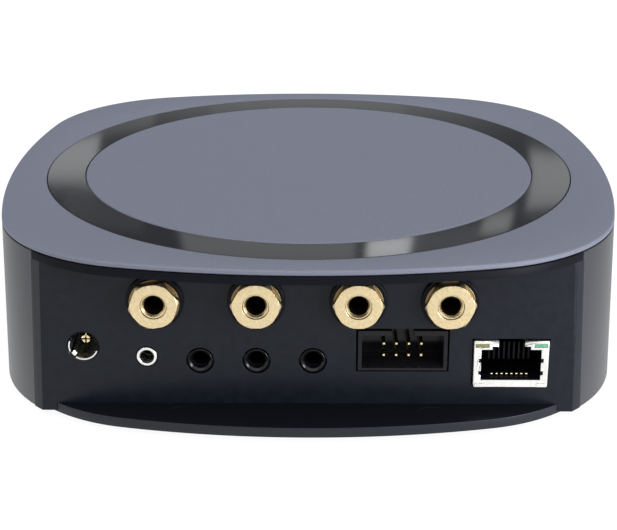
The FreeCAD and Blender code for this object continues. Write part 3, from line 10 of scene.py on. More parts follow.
import bmesh
import bpy
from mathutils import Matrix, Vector


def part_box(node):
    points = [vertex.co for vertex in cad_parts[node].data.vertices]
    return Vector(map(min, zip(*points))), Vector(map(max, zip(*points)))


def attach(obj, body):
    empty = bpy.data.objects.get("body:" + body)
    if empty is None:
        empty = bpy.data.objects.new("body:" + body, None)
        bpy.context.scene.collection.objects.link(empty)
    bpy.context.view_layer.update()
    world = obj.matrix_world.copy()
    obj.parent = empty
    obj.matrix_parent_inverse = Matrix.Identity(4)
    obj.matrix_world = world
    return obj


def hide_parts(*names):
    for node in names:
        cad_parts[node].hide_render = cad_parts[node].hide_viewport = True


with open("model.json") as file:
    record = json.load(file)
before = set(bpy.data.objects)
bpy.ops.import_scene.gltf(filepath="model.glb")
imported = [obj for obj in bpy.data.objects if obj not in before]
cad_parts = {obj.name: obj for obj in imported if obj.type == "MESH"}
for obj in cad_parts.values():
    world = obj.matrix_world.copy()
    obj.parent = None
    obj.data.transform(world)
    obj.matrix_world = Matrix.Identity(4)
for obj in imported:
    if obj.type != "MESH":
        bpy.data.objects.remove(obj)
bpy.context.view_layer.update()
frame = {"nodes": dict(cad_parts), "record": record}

MM = 0.001
X, Y, Z = 0, 1, 2


def span(node, axis):
    """A CAD node's least and greatest place along an axis, in millimetres."""
    return [round(corner[axis] / MM, 3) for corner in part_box(node)]


def middle(node, axis):
    return round(sum(span(node, axis)) / 2, 3)


def face_of(node):
    """Where a CAD node begins on the connector side."""
    return span(node, Y)[0]


# Levels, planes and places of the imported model

HALF_WIDTH, HALF_DEPTH = span("top_cover", X)[1], span("top_cover", Y)[1]
SIDE_RADIUS, CORNER_RADIUS = 170, 35
COVER_TOP = span("top_cover", Z)[1]
SEAT_LOW = span("gloss_ring", Z)[0]
WALL_LOW, WALL_TOP = span("case_shell", Z)
DECK_LOW, DECK_TOP = span("connector_panel", Z)[1], 35.9
PANEL_FACE, PANEL_BACK = span("connector_panel", Y)
RIB_HALF, RIB_BACK = 48, -50.4
BASE_LOW, PILLAR_TOP = span("base_plate", Z)
BASE_TOP = 3.65
FOOT_TOP = span("foot_rear_left", Z)[1]
FEET = {
    f"foot_{end}_{side}": (x, y)
    for end, y in (("rear", -46.8), ("front", 46.8)) for side, x in (("left", -43.5), ("right", 43.5))
}
BOARD_LOW, BOARD_TOP = span("main_board", Z)
STANDOFFS = [(x, y) for x in (-46, 46) for y in (-27, 39)]
PILLARS = [(x, y) for x in (-55, 55) for y in (-41, 41)]
SCREW_BORE, SCREW_SEAT = 1.6, 5.45

POST_X = {number: middle(f"post_{number}_collar", X) for number in (1, 2, 3, 4)}
POST_Z = middle("post_1_collar", Z)
NUT_TURN = {1: 10, 2: 0, 3: 0, 4: 4}
DC_X, DC_Z, DC_DEPTH = middle("dc_jack_pin", X), middle("dc_jack_pin", Z), 10.3
SERVICE_X, SERVICE_Z = middle("service_jack_ring", X), middle("service_jack_ring", Z)
JACK_X = {number: middle(f"audio_jack_{number}", X) for number in (1, 2, 3)}
JACK_Z = 13.3
HEADER_X, HEADER_HALF = middle("header_shroud", X), 9.1
HEADER_LOW, HEADER_TOP = 11.35, span("header_shroud", Z)[1]
LAN_X, LAN_HALF = middle("lan_shield", X), 7.7
LAN_FACE, LAN_BACK = span("lan_shield", Y)
LAN_LOW, LAN_TOP = span("lan_shield", Z)

# Where cutting tools begin or end: clear of the case, before all that stands on the panel, and behind it
OUTSIDE, CUT_START, CUT_END = 90, -56, -50


# Mesh builders


def blank(name, points, faces):
    """A mesh object from points in millimetres, its normals turned outwards."""
    mesh = bpy.data.meshes.new(name)
    mesh.from_pydata([[number * MM for number in point] for point in points], [], faces)
    work = bmesh.new()
    work.from_mesh(mesh)
    bmesh.ops.remove_doubles(work, verts=work.verts, dist=1e-7)
    bmesh.ops.recalc_face_normals(work, faces=work.faces)
    work.to_mesh(mesh)
    work.free()
    item = bpy.data.objects.new(name, mesh)
    bpy.context.scene.collection.objects.link(item)
    return item


def skin(name, loops, ring=False):
    """A surface through loops of equally many points, capped, or closed on itself for a ring."""
    count, rows = len(loops[0]), len(loops)
    faces = []
    for row in range(rows if ring else rows - 1):
        near, far = row * count, (row + 1) % rows * count
        for i in range(count):
            j = (i + 1) % count
            faces.append((near + i, near + j, far + j, far + i))
    if not ring:
        faces.append(tuple(reversed(range(count))))
        faces.append(tuple(range((rows - 1) * count, rows * count)))
    return blank(name, [point for loop in loops for point in loop], faces)


def soften(corners, closed=True, steps=3):
    """A polyline through (u, v, radius) corners, each rounded by its radius."""
    line = []
    for index, (u, v, radius) in enumerate(corners):
        here = Vector((u, v))
        if radius == 0 or not closed and index in (0, len(corners) - 1):
            line.append((u, v))
            continue
        back = Vector(corners[index - 1][:2]) - here
        ahead = Vector(corners[(index + 1) % len(corners)][:2]) - here
        half = back.angle(ahead) / 2
        reach = min(radius / math.tan(half), back.length * 0.49, ahead.length * 0.49)
        back.normalize()
        ahead.normalize()
        centre = here + (back + ahead).normalized() * (reach / math.cos(half))
        start, end = here + back * reach - centre, here + ahead * reach - centre
        for step in range(steps + 1):
            line.append(tuple(centre + start.slerp(end, step / steps) * start.length))
    return line


def lathe(name, profile, centre, upright=False, segments=96, ring=True):
    """A turned piece: its profile is (radius, distance), along +Y, or along +Z where upright."""
    loops = []
    for radius, along in profile:
        loop = []
        for step in range(segments):
            turn = 2 * math.pi * step / segments
            across, over = radius * math.cos(turn), radius * math.sin(turn)
            offset = (across, over, along) if upright else (across, along, over)
            loop.append([base + more for base, more in zip(centre, offset)])
        loops.append(loop)
    return skin(name, loops, ring)


def rod(name, radius, centre, length, upright=False, segments=64):
    return lathe(name, [(radius, 0), (radius, length)], centre, upright, segments, ring=False)


def block(name, low, high):
    faces = [(0, 1, 3, 2), (4, 6, 7, 5), (0, 4, 5, 1), (2, 3, 7, 6), (0, 2, 6, 4), (1, 5, 7, 3)]
    return blank(name, list(product(*zip(low, high))), faces)


def bar(name, x, half, depths, levels):
    """A block that reaches half to each side of x, between two depths (Y) and two levels (Z)."""
    return block(name, (x - half, depths[0], levels[0]), (x + half, depths[1], levels[1]))


def rectangle(y, x, half, low, high):
    """The corners of an upright rectangle at depth y."""
    return [(x - half, y, low), (x + half, y, low), (x + half, y, high), (x - half, y, high)]


def merge(name, items):
    """One object from several, each keeping its own closed surface."""
    work = bmesh.new()
    for item in items:
        work.from_mesh(item.data)
        bpy.data.objects.remove(item)
    mesh = bpy.data.meshes.new(name)
    work.to_mesh(mesh)
    work.free()
    made = bpy.data.objects.new(name, mesh)
    bpy.context.scene.collection.objects.link(made)
    return made


def settle(item):
    """Replaces the item's mesh by what its modifiers make of it."""
    depsgraph = bpy.context.evaluated_depsgraph_get()
    mesh = bpy.data.meshes.new_from_object(item.evaluated_get(depsgraph))
    item.modifiers.clear()
    item.data = mesh
    return item


def carve(item, tools, operation="DIFFERENCE"):
    tool = merge(f"{item.name}_tool", tools)
    cutter = item.modifiers.new("carve", "BOOLEAN")
    cutter.operation, cutter.solver, cutter.object = operation, "EXACT", tool
    settle(item)
    bpy.data.objects.remove(tool)
    return item


def smooth(item, angle=32):
    """Shades the item smooth, apart from edges sharper than angle."""
    item.data.shade_smooth()
    item.data.set_sharp_from_angle(angle=math.radians(angle))
    return item


def ease(item, width, segments=2):
    """Rounds the item's sharp edges a little, with its flat faces left flat."""
    item.data.shade_smooth()
    rounding = item.modifiers.new("ease", "BEVEL")
    rounding.width, rounding.segments = width * MM, segments
    rounding.limit_method, rounding.angle_limit = "ANGLE", math.radians(40)
    rounding.harden_normals = True
    return settle(item)


def flatten(item):
    """Keeps the flat faces flat, by weighing the normals by area."""
    steady = item.modifiers.new("flatten", "WEIGHTED_NORMAL")
    steady.keep_sharp = True
    return settle(item)


def split_at(item, y):
    """Divides the faces that cross the depth y."""
    work = bmesh.new()
    work.from_mesh(item.data)
    everything = [*work.verts, *work.edges, *work.faces]
    bmesh.ops.bisect_plane(work, geom=everything, plane_co=(0, y * MM, 0), plane_no=(0, 1, 0))
    work.to_mesh(item.data)
    work.free()


def corner_centre(half_x, half_y, side, corner):
    """Centre of the corner arc that is tangent to both side arcs."""
    x, y = half_x - corner, half_y - corner
    for _ in range(40):
        to_x, to_y = math.hypot(x - half_x + side, y), math.hypot(x, y - half_y + side)
        miss_x, miss_y = to_x - side + corner, to_y - side + corner
        a, b = (x - half_x + side) / to_x, y / to_x
        c, d = x / to_y, (y - half_y + side) / to_y
        x, y = (x - (miss_x * d - miss_y * b) / (a * d - b * c),
                y - (a * miss_y - c * miss_x) / (a * d - b * c))
    return x, y


def outline(inset, level, per_arc=28):
    """The case's outline moved in by inset: four side arcs and four corner arcs."""
    half_x, half_y = HALF_WIDTH - inset, HALF_DEPTH - inset
    side, corner = SIDE_RADIUS - inset, CORNER_RADIUS - inset
    x, y = corner_centre(half_x, half_y, side, corner)
    low, high = math.atan2(y, x - half_x + side), math.atan2(y - half_y + side, x)
    pi = math.pi
    arcs = [
        (half_x - side, 0, side, -low, low), (x, y, corner, low, high),
        (0, half_y - side, side, high, pi - high), (-x, y, corner, pi - high, pi - low),
        (side - half_x, 0, side, pi - low, pi + low), (-x, -y, corner, pi + low, pi + high),
        (0, side - half_y, side, pi + high, 2 * pi - high), (x, -y, corner, 2 * pi - high, 2 * pi - low),
    ]
    return [
        (cx + radius * math.cos(start + (end - start) * i / per_arc),
         cy + radius * math.sin(start + (end - start) * i / per_arc), level)
        for cx, cy, radius, start, end in arcs for i in range(per_arc)
    ]


BEARINGS = [math.atan2(y, x) for x, y, level in outline(0, 0)]


def circle(radius, level):
    """A circle met at the same bearings as the outline's points."""
    return [(radius * math.cos(turn), radius * math.sin(turn), level) for turn in BEARINGS]


def window(level):
    """The deck's rounded window, met at the same bearings as the outline's points."""
    rear, front, half, corner = -46, 52, 50, 14
    centre, reach = (rear + front) / 2, (front - rear) / 2
    loop = []
    for turn in BEARINGS:
        near, far = 0, OUTSIDE
        for _ in range(40):
            test = (near + far) / 2
            x, y = test * math.cos(turn), test * math.sin(turn) - centre
            over_x, over_y = abs(x) - half + corner, abs(y) - reach + corner
            depth = math.hypot(max(over_x, 0), max(over_y, 0)) + min(max(over_x, over_y), 0) - corner
            near, far = (test, far) if depth < 0 else (near, test)
        loop.append((near * math.cos(turn), near * math.sin(turn), level))
    return loop


# Finishes


def principled(name, colour, roughness, sockets=None):
    """A plain material, with more of its shader's sockets set where they are given."""
    made = bpy.data.materials.new(name)
    made.use_nodes = True
    shader = made.node_tree.nodes["Principled BSDF"]
    shader.inputs["Base Color"].default_value = (*colour, 1)
    shader.inputs["Roughness"].default_value = roughness
    for socket, number in (sockets or {}).items():
        shader.inputs[socket].default_value = number
    return made


def finish(name, colour, roughness, size, spread, rough, bump=0, sockets=None, stretch=(1, 1, 1)):
    """A material with grain of about size millimetres in colour, roughness and height.

    The colour varies by the share spread, the roughness by rough, and the height by bump millimetres.
    """
    made = principled(name, colour, roughness, sockets)
    tree = made.node_tree
    shader = tree.nodes["Principled BSDF"]
    where = tree.nodes.new("ShaderNodeTexCoord")
    scale = tree.nodes.new("ShaderNodeMapping")
    scale.inputs["Scale"].default_value = stretch
    noise = tree.nodes.new("ShaderNodeTexNoise")
    noise.inputs["Scale"].default_value = 1 / (size * MM)
    noise.inputs["Detail"].default_value = 3
    tree.links.new(where.outputs["Object"], scale.inputs["Vector"])
    tree.links.new(scale.outputs["Vector"], noise.inputs["Vector"])
    ramp = tree.nodes.new("ShaderNodeValToRGB")
    for stop, place, gain in ((0, 0.32, 1 - spread), (1, 0.68, 1 + spread)):
        ramp.color_ramp.elements[stop].position = place
        ramp.color_ramp.elements[stop].color = (*(min(part * gain, 1) for part in colour), 1)
    tree.links.new(noise.outputs["Fac"], ramp.inputs["Fac"])
    tree.links.new(ramp.outputs["Color"], shader.inputs["Base Color"])
    sheen = tree.nodes.new("ShaderNodeMapRange")
    sheen.inputs["To Min"].default_value = max(roughness - rough, 0.02)
    sheen.inputs["To Max"].default_value = min(roughness + rough, 1)
    tree.links.new(noise.outputs["Fac"], sheen.inputs["Value"])
    tree.links.new(sheen.outputs["Result"], shader.inputs["Roughness"])
    if bump:
        dimple = tree.nodes.new("ShaderNodeBump")
        dimple.inputs["Distance"].default_value = bump * MM
        tree.links.new(noise.outputs["Fac"], dimple.inputs["Height"])
        tree.links.new(dimple.outputs["Normal"], shader.inputs["Normal"])
    return made


def glint(level):
    """The shader's setting for how strongly a plain surface mirrors."""
    return {"Specular IOR Level": level}


METAL = {"Metallic": 1.0}
# Each row holds what finish takes: name, colour, roughness, size, spread, rough, and where set, more
LOOKS = [
    ("case_plastic", (0.018, 0.02, 0.026), 0.38, 0.3, 0.25, 0.06, 0.006),
    ("disc_plastic", (0.128, 0.136, 0.176), 0.6, 0.25, 0.12, 0.06, 0.01),
    ("gloss_plastic_black", (0.008, 0.009, 0.012), 0.06, 1.2, 0.2, 0.015),
    ("panel_plastic", (0.006, 0.0078, 0.0122), 0.34, 1.6, 0.18, 0.06, 0.006, glint(0.2)),
    ("base_plastic", (0.009, 0.011, 0.016), 0.4, 0.3, 0.25, 0.06, 0.006, glint(0.3)),
    # painted shade: a darker copy of the case's plastic, for the lintel under the cover and the ledge in the
    # recess
    ("lintel_plastic", (0.005, 0.0055, 0.008), 0.4, 0.3, 0.2, 0.06, 0.006, glint(0.06)),
    ("foot_rubber", (0.03, 0.03, 0.033), 0.75, 0.5, 0.25, 0.1, 0.02),
    ("black_plastic", (0.012, 0.012, 0.014), 0.3, 0.5, 0.3, 0.08, 0.004),
    ("jack_plastic", (0.006, 0.006, 0.0075), 0.16, 0.8, 0.2, 0.04, 0, glint(0.22)),
    # painted shade: a blacker copy of the black plastic, for the collars behind the nuts and the network
    # socket's insert
    ("cavity_plastic", (0.004, 0.004, 0.006), 0.3, 0.8, 0.2, 0.04, 0, glint(0.1)),
    ("bore_shade", (0.012, 0.008, 0.004), 0.5, 0.6, 0.2, 0.08, 0, glint(0.2)),
    ("steel", (0.55, 0.55, 0.54), 0.32, 0.6, 0.12, 0.1, 0.004, METAL),
    ("gold", (0.74, 0.6, 0.36), 0.3, 0.55, 0.1, 0.1, 0.012, METAL),
    ("pin_gold", (0.8, 0.68, 0.42), 0.14, 0.5, 0.06, 0.03, 0, METAL),
    ("washer_bronze", (0.2, 0.14, 0.07), 0.35, 0.5, 0.1, 0.08, 0, METAL),
    ("plated_metal", (0.86, 0.85, 0.82), 0.28, 0.8, 0.06, 0.1, 0.004, METAL),
    ("bare_aluminium", (0.72, 0.72, 0.73), 0.36, 0.3, 0.1, 0.1, 0.006, METAL, (1, 0.05, 1)),
    ("lead_insulation", (0.25, 0.02, 0.015), 0.45, 0.6, 0.2, 0.1),
    ("amber_lens", (0.17, 0.16, 0.06), 0.25, 0.4, 0.25, 0.05),
    ("green_lens", (0.1, 0.3, 0.18), 0.25, 0.4, 0.25, 0.05),
    ("circuit_board", (0.02, 0.14, 0.05), 0.35, 2.5, 0.35, 0.1, 0.01),
    ("chip_epoxy", (0.018, 0.018, 0.019), 0.6, 0.3, 0.25, 0.1, 0.006),
    ("ferrite", (0.05, 0.05, 0.055), 0.7, 0.35, 0.35, 0.1, 0.02),
    ("capacitor_yellow", (0.72, 0.5, 0.05), 0.4, 0.8, 0.08, 0.08),
    ("capacitor_sleeve", (0.015, 0.018, 0.05), 0.25, 1.5, 0.2, 0.06),
    ("antenna_film", (0.36, 0.16, 0.03), 0.35, 1.2, 0.2, 0.08),
]
FINISH = {row[0]: finish(*row) for row in LOOKS}


def dress(item, slot, node, look=None, body="chassis"):
    """Gives a finished piece its look and its body, and hides the CAD node that it stands for."""
    item.data.materials.clear()
    item.data.materials.append(FINISH[look or slot])
    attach(item, body)
    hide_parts(node)


def paint(item, look, chosen):
    """A second finish for some faces, chosen by their middle in millimetres and their normal."""
    item.data.materials.append(FINISH[look])
    for face in item.data.polygons:
        if chosen(face.center / MM, face.normal):
            face.material_index = 1


# Case


def build_cover():
    """Cover: inner step, shadow line, rounded rim, the seat for the ring and the screws' bosses."""
    step, shadow, rim_low, seat, boss = 2.1, 0.6, 36.85, 60, 3.5
    rim = [(shadow, rim_low, 0), (0, rim_low, 0.12), (0, COVER_TOP, 0.45), (4, COVER_TOP, 0)]
    loops = [outline(step, DECK_TOP), outline(step, WALL_TOP), outline(shadow, WALL_TOP)]
    loops += [outline(inset, level) for inset, level in soften(rim, False, 5)[:-1]]
    for wider, lower in ((0.12, 0), (0.03, 0.04), (0, 0.12), (0, COVER_TOP - SEAT_LOW)):
        loops.append(circle(seat + wider, COVER_TOP - lower))
    profile = [
        (SCREW_BORE, PILLAR_TOP), (boss - 0.2, PILLAR_TOP), (boss, PILLAR_TOP + 0.2), (boss, DECK_TOP),
        (SCREW_BORE, DECK_TOP),
    ]
    bosses = [lathe(f"cover_boss_{x}_{y}", profile, (x, y, 0), True, 40) for x, y in PILLARS]
    cover = merge("top_cover_visual", [skin("cover_plate", loops), *bosses])
    dress(smooth(cover), "case_plastic", "top_cover", "disc_plastic")


def build_ring():
    inner, outer = 51.2, span("gloss_ring", X)[1]
    profile = [(inner, SEAT_LOW, 0), (outer, SEAT_LOW, 0), (outer, COVER_TOP, 0.2), (inner, COVER_TOP, 0.2)]
    ring = lathe("gloss_ring_visual", soften(profile), (0, 0, 0), True, 360)
    dress(flatten(smooth(ring)), "gloss_plastic_black", "gloss_ring")


def build_disc():
    radius, top = span("top_disc", X)[1], span("top_disc", Z)[1]
    profile = [(0, SEAT_LOW, 0), (radius, SEAT_LOW, 0), (radius, top, 0.22), (0, top, 0)]
    disc = lathe("top_disc_visual", soften(profile, False), (0, 0, 0), True, 360, ring=False)
    dress(flatten(smooth(disc)), "disc_plastic", "top_disc")


def build_shell():
    """Wall and deck as one closed ring of loops, with the recess cut across the rear."""
    thick, flare, lintel_half, screw_way, rib_low = 2, 1, 57, 3.7, 32.65
    corners = [
        (thick - flare, WALL_LOW, 0), (-flare, WALL_LOW, 0.3), (0, WALL_TOP, 0.15), (thick, WALL_TOP, 0),
        (thick, DECK_TOP, 0),
    ]
    under_deck = thick - flare * (WALL_TOP - DECK_LOW) / (WALL_TOP - WALL_LOW)
    loops = [outline(inset, level) for inset, level in soften(corners, False)]
    loops += [window(DECK_TOP), window(DECK_LOW), outline(under_deck, DECK_LOW)]
    shell = skin("case_shell_visual", loops, ring=True)
    tools = [block("recess", (-OUTSIDE, -OUTSIDE, -5), (OUTSIDE, PANEL_BACK, DECK_LOW))]
    tools += [rod(f"pass_{x}_{y}", screw_way, (x, y, DECK_LOW - 0.85), 3, True, 40) for x, y in PILLARS]
    smooth(carve(shell, tools))
    rib = bar("shell_rib", 0, RIB_HALF, (PANEL_BACK, RIB_BACK), (rib_low, DECK_LOW + 0.02))
    case = merge("case_shell_visual", [shell, ease(rib, 0.2)])
    dress(case, "case_plastic", "case_shell")
    # The lintel's faces under the cover take the darker copy as painted shade.
    paint(case, "lintel_plastic",
          lambda at, facing: at.y < PANEL_BACK and abs(at.x) < lintel_half and at.z > DECK_LOW - 0.1)


def build_panel():
    """The flat connector panel with a hole for every socket, its ends following the case's wall."""
    panel = block("connector_panel_visual", (-OUTSIDE, PANEL_FACE, -5), (OUTSIDE, PANEL_BACK, DECK_LOW))
    post_hole, jack_hole, power_hole, service_hole, header_gap, lan_gap = 3.7, 2.87, 3.4, 2.275, 0.35, 0.175
    rounds = [(x, POST_Z, post_hole) for x in POST_X.values()]
    rounds += [(x, JACK_Z, jack_hole) for x in JACK_X.values()]
    rounds += [(DC_X, DC_Z, power_hole), (SERVICE_X, SERVICE_Z, service_hole)]
    tools = [rod(f"hole_{x}", radius, (x, CUT_START, z), CUT_END - CUT_START) for x, z, radius in rounds]
    for x, half, low, high, gap in (
        (HEADER_X, HEADER_HALF, HEADER_LOW, HEADER_TOP, header_gap),
        (LAN_X, LAN_HALF, LAN_LOW, LAN_TOP, lan_gap),
    ):
        tools.append(bar(f"hole_{x}", x, half + gap, (CUT_START, CUT_END), (low - gap, high + gap)))
    ease(carve(panel, tools), 0.1)
    carve(panel, [skin("case_space", [outline(-1, WALL_LOW), outline(0, WALL_TOP)])], "INTERSECT")
    carve(panel, [skin("base_space", [outline(1, 0.5), outline(1, BASE_TOP)])])
    dress(flatten(smooth(panel)), "case_plastic", "connector_panel", "panel_plastic")
    paint(panel, "case_plastic", lambda at, facing: abs(at.x) > 60 and abs(facing.y) < 0.9)


def vent(x, y):
    """A cutting tool for a cooling slot with round ends."""
    half, reach, steps = 0.9, 13.0, 8
    line = []
    for end, start in ((1, 0), (-1, math.pi)):
        for step in range(steps + 1):
            turn = start + math.pi * step / steps
            line.append((x + half * math.cos(turn), y + end * (reach - half) + half * math.sin(turn)))
    return skin(f"vent_{x}_{y}", [[(u, v, level) for u, v in line] for level in (0, 5)])


def build_base():
    """Base plate: lip, cooling slots, seats for feet and screws, pillars, standoffs and two faint marks."""
    edge, head, wall, root, seat, rib_top = 1.1, 3.1, 3.5, BASE_TOP - 0.35, 9.1, 5.85
    rim = [(4, BASE_LOW, 0), (edge, BASE_LOW, 0.2), (edge, BASE_TOP, 0.14), (4, BASE_TOP, 0)]
    plate = skin("base_plate_visual", [outline(inset, level) for inset, level in soften(rim, False, 4)])
    mark, mark_x, mark_y, mark_depth, vent_pitch, vent_y = 3, 25.4, -58.4, 0.06, 5.2, 17
    tools = [rod(f"seat_{x}_{y}", seat, (x, y, 0), FOOT_TOP, True, 96) for x, y in sorted(FEET.values())]
    tools += [rod(f"sunk_{x}_{y}", head, (x, y, 0), 5, True, 48) for x, y in PILLARS]
    tools += [rod(f"mark_{x}", mark, (x, mark_y, BASE_TOP - mark_depth), 1, True) for x in (-mark_x, mark_x)]
    tools += [vent(vent_pitch * step, y) for step in range(-4, 5) for y in (-vent_y, vent_y)]
    smooth(carve(plate, tools))

    profile = [
        (SCREW_BORE, SCREW_SEAT), (head, SCREW_SEAT), (head, root), (wall, root), (wall, PILLAR_TOP - 0.2),
        (wall - 0.2, PILLAR_TOP), (SCREW_BORE, PILLAR_TOP),
    ]
    posts = [lathe(f"pillar_{x}_{y}", profile, (x, y, 0), True, 48) for x, y in PILLARS]
    hole, stud = 1.35, 3
    profile = [
        (hole, root), (stud, root), (stud, BOARD_LOW - 0.2), (stud - 0.2, BOARD_LOW), (hole, BOARD_LOW),
    ]
    posts += [lathe(f"standoff_{x}_{y}", profile, (x, y, 0), True, 40) for x, y in STANDOFFS]
    rib = bar("base_rib", 0, RIB_HALF, (PANEL_BACK, RIB_BACK), (BASE_TOP - 0.05, rib_top))
    base = merge("base_plate_visual", [plate, *map(smooth, posts), ease(rib, 0.2)])
    dress(base, "case_plastic", "base_plate", "base_plastic")
    # The faces are split at the panel's face so that the ledge's top in front of it can take painted shade: a
    # darker copy of the case's plastic.
    split_at(base, PANEL_FACE)
    paint(base, "lintel_plastic",
          lambda at, facing: at.y < PANEL_FACE and at.z > BASE_TOP - 0.08 and facing.z > 0.8)


def build_foot(name, x, y):
    radius, cone = 9, 1.1
    profile = soften([
        (0, 0, 0), (radius - cone, 0, 0.3), (radius, cone, 0.3), (radius, FOOT_TOP, 0), (0, FOOT_TOP, 0),
    ], False)
    foot = lathe(f"{name}_visual", profile, (x, y, 0), True, 128, ring=False)
    dress(smooth(foot), "foot_rubber", name)


def build_case_screws():
    """Four recessed screws, each with a cross slot in its head."""
    low, tip = span("case_screws", Z)
    head, shank = 2.75, 1.5
    reach, half, slot_end = 1.5, 0.3, 4.6
    profile = soften([
        (0, low, 0), (head, low, 0.9), (head, SCREW_SEAT, 0.1), (shank, SCREW_SEAT, 0),
        (shank, tip - 0.55, 0), (shank - 0.5, tip, 0), (0, tip, 0),
    ], False)
    screws = []
    for x, y in PILLARS:
        screw = lathe(f"screw_{x}_{y}", profile, (x, y, 0), True, 48, ring=False)
        for half_x, half_y in ((reach, half), (half, reach)):
            carve(screw, [block("arm", (x - half_x, y - half_y, 3), (x + half_x, y + half_y, slot_end))])
        screws.append(smooth(screw))
    dress(merge("case_screws_visual", screws), "steel", "case_screws")


# Speaker terminals: every profile is (radius, distance behind the piece's face)


def build_collar(name, x):
    sleeve, rim, hole = 3.6, 5.8, 2.65
    profile = soften([
        (hole, 0.4, 0), (sleeve + 0.15, 0.4, 0), (sleeve + 0.15, 0, 0), (rim, 0, 0.2), (rim, 0.8, 0),
        (sleeve, 0.8, 0), (sleeve, 2.8, 0), (hole, 2.8, 0),
    ])
    collar = lathe(f"{name}_visual", profile, (x, face_of(name), POST_Z))
    # The collar takes the blacker copy as painted shade behind the nut.
    dress(smooth(collar), "black_plastic", name, "cavity_plastic")


def build_barrel(name, x):
    """Threaded barrel with the plug's bore, which is closed at its end and shows dark."""
    bore, depth, crest, flange, pitch, length = 2.0, 15, 2.6, 3.7, 0.8, 18
    profile = [(0, depth), (bore, depth), (bore, 0.45), (2.34, 0.05), (2.4, 0), (2.56, 0), (crest, 0.04)]
    profile += [(crest, 0.3), (crest, 2.1), (flange, 2.1), (flange, 2.5), (crest, 2.5), (crest, 5.0)]
    for turn in range(16):
        root = 5.4 + turn * pitch
        profile += [(2.38, root), (crest, root + 0.2), (crest, root + 0.3)]
    profile += [(2.3, length), (0, length)]
    barrel = lathe(f"{name}_visual", profile, (x, face_of(name), POST_Z), segments=80, ring=False)
    dress(smooth(barrel), "gold", name)
    bore_end = face_of(name) + depth + 0.8
    paint(barrel, "bore_shade",
          lambda at, facing: math.hypot(at.x - x, at.z - POST_Z) < bore + 0.03 and at.y < bore_end)


def build_washer(name, x, body):
    hole, rim, thick = 2.65, 5.1, 0.5
    profile = soften([(hole, 0, 0), (rim, 0, 0.12), (rim, thick, 0.12), (hole, thick, 0)])
    washer = lathe(f"{name}_visual", profile, (x, face_of(name), POST_Z))
    dress(smooth(washer), "gold", name, "washer_bronze", body)


def build_nut(name, x, turn, body):
    """Hex nut with turned corners: its outer loops are the hexagon, cut off by a circle."""
    face, corner, flat, hole, thick = 4.72, 5.12, 4.6, 2.65, 1.8
    front, segments = face_of(name), 288
    profile = [(face - 0.12, 0.0), (face - 0.04, 0.02)]
    profile += [(face + (corner - face) * k / 5, 0.05 + 0.4 * k / 5) for k in range(6)]
    profile += [(corner, 0.6), (corner, thick - 0.1), (corner - 0.08, thick)]
    profile += [(hole, thick), (hole, 0.1), (hole + 0.06, 0.02), (hole + 0.1, 0.0)]
    loops = []
    for limit, along in profile:
        loop = []
        for step in range(segments):
            bearing = 2 * math.pi * step / segments
            off = (math.degrees(bearing) - turn) % 60 - 30
            radius = min(limit, flat / math.cos(math.radians(off)))
            loop.append((x + radius * math.cos(bearing), front + along, POST_Z + radius * math.sin(bearing)))
        loops.append(loop)
    nut = skin(f"{name}_visual", loops, ring=True)
    dress(smooth(nut, 24), "gold", name, body=body)


# Sockets


def build_power_inlet():
    """Round power inlet: its nose in the panel's hole, and the bore for the plug."""
    half, nose, mouth, bore = 4.5, 3.35, 3.27, 3.1
    back, top = span("dc_jack_body", Y)[1], span("dc_jack_body", Z)[1]
    body = bar("dc_jack_body_visual", DC_X, half, (PANEL_BACK, back), (BOARD_TOP, top))
    carve(body, [rod("dc_nose", nose, (DC_X, PANEL_FACE, DC_Z), 3, segments=96)], "UNION")
    profile = [(mouth, -0.5), (mouth, 0.02), (bore, 0.19), (bore, DC_DEPTH)]
    carve(body, [lathe("dc_bore", profile, (DC_X, PANEL_FACE, DC_Z), ring=False)])
    dress(ease(body, 0.08), "black_plastic", "dc_jack_body", "jack_plastic")


def build_power_sleeve():
    """Contact leaves in the inlet's bore: bent strips between two bearings, one of them a bulging spring.

    Each section is a distance behind the panel's face, an inner radius and an outer radius.
    """
    along_wall = ((0.3, 2.78, 3.04), (0.45, 2.74, 3.05), (1.2, 2.85, 3.05), (10.2, 2.9, 3.05))
    bulging = ((0.5, 2.55, 2.95), (0.8, 2.2, 2.7), (1.5, 2.1, 2.5), (3.0, 2.6, 2.85), (10.2, 2.8, 3.05))
    leaves = []
    for first, last, sections in ((158, 203, along_wall), (237, 338, along_wall), (211, 231, bulging)):
        arc = [math.radians(first + (last - first) * k / 12) for k in range(13)]
        loops = []
        for along, inner, outer in sections:
            strip = [(outer, turn) for turn in arc] + [(inner, turn) for turn in reversed(arc)]
            loops.append([(DC_X + radius * math.cos(turn), PANEL_FACE + along, DC_Z + radius * math.sin(turn))
                          for radius, turn in strip])
        leaves.append(smooth(skin(f"leaf_{first}", loops)))
    dress(merge("dc_jack_sleeve_visual", leaves), "plated_metal", "dc_jack_sleeve")


def build_power_pin():
    """The inlet's centre pin, split crosswise from its tip."""
    tip, radius, slit, reach, slit_start, slit_end = 4, 1, 0.17, 1.2, -50.5, -46.7
    profile = soften([(0, tip, 0), (radius, tip, 0.25), (radius, DC_DEPTH, 0), (0, DC_DEPTH, 0)], False, 5)
    pin = lathe("dc_jack_pin_visual", profile, (DC_X, PANEL_FACE, DC_Z), segments=48, ring=False)
    for half_x, half_z in ((slit, reach), (reach, slit)):
        carve(pin, [bar("slit", DC_X, half_x, (slit_start, slit_end), (DC_Z - half_z, DC_Z + half_z))])
    dress(smooth(pin), "gold", "dc_jack_pin", "pin_gold")


def build_service_socket():
    inner, outer, length = 1.45, 2.1, 4.3
    profile = soften([(inner, 0, 0.2), (outer, 0, 0.25), (outer, length, 0), (inner, length, 0)])
    nose = lathe("service_jack_ring_visual", profile, (SERVICE_X, face_of("service_jack_ring"), SERVICE_Z))
    dress(smooth(nose), "plated_metal", "service_jack_ring")


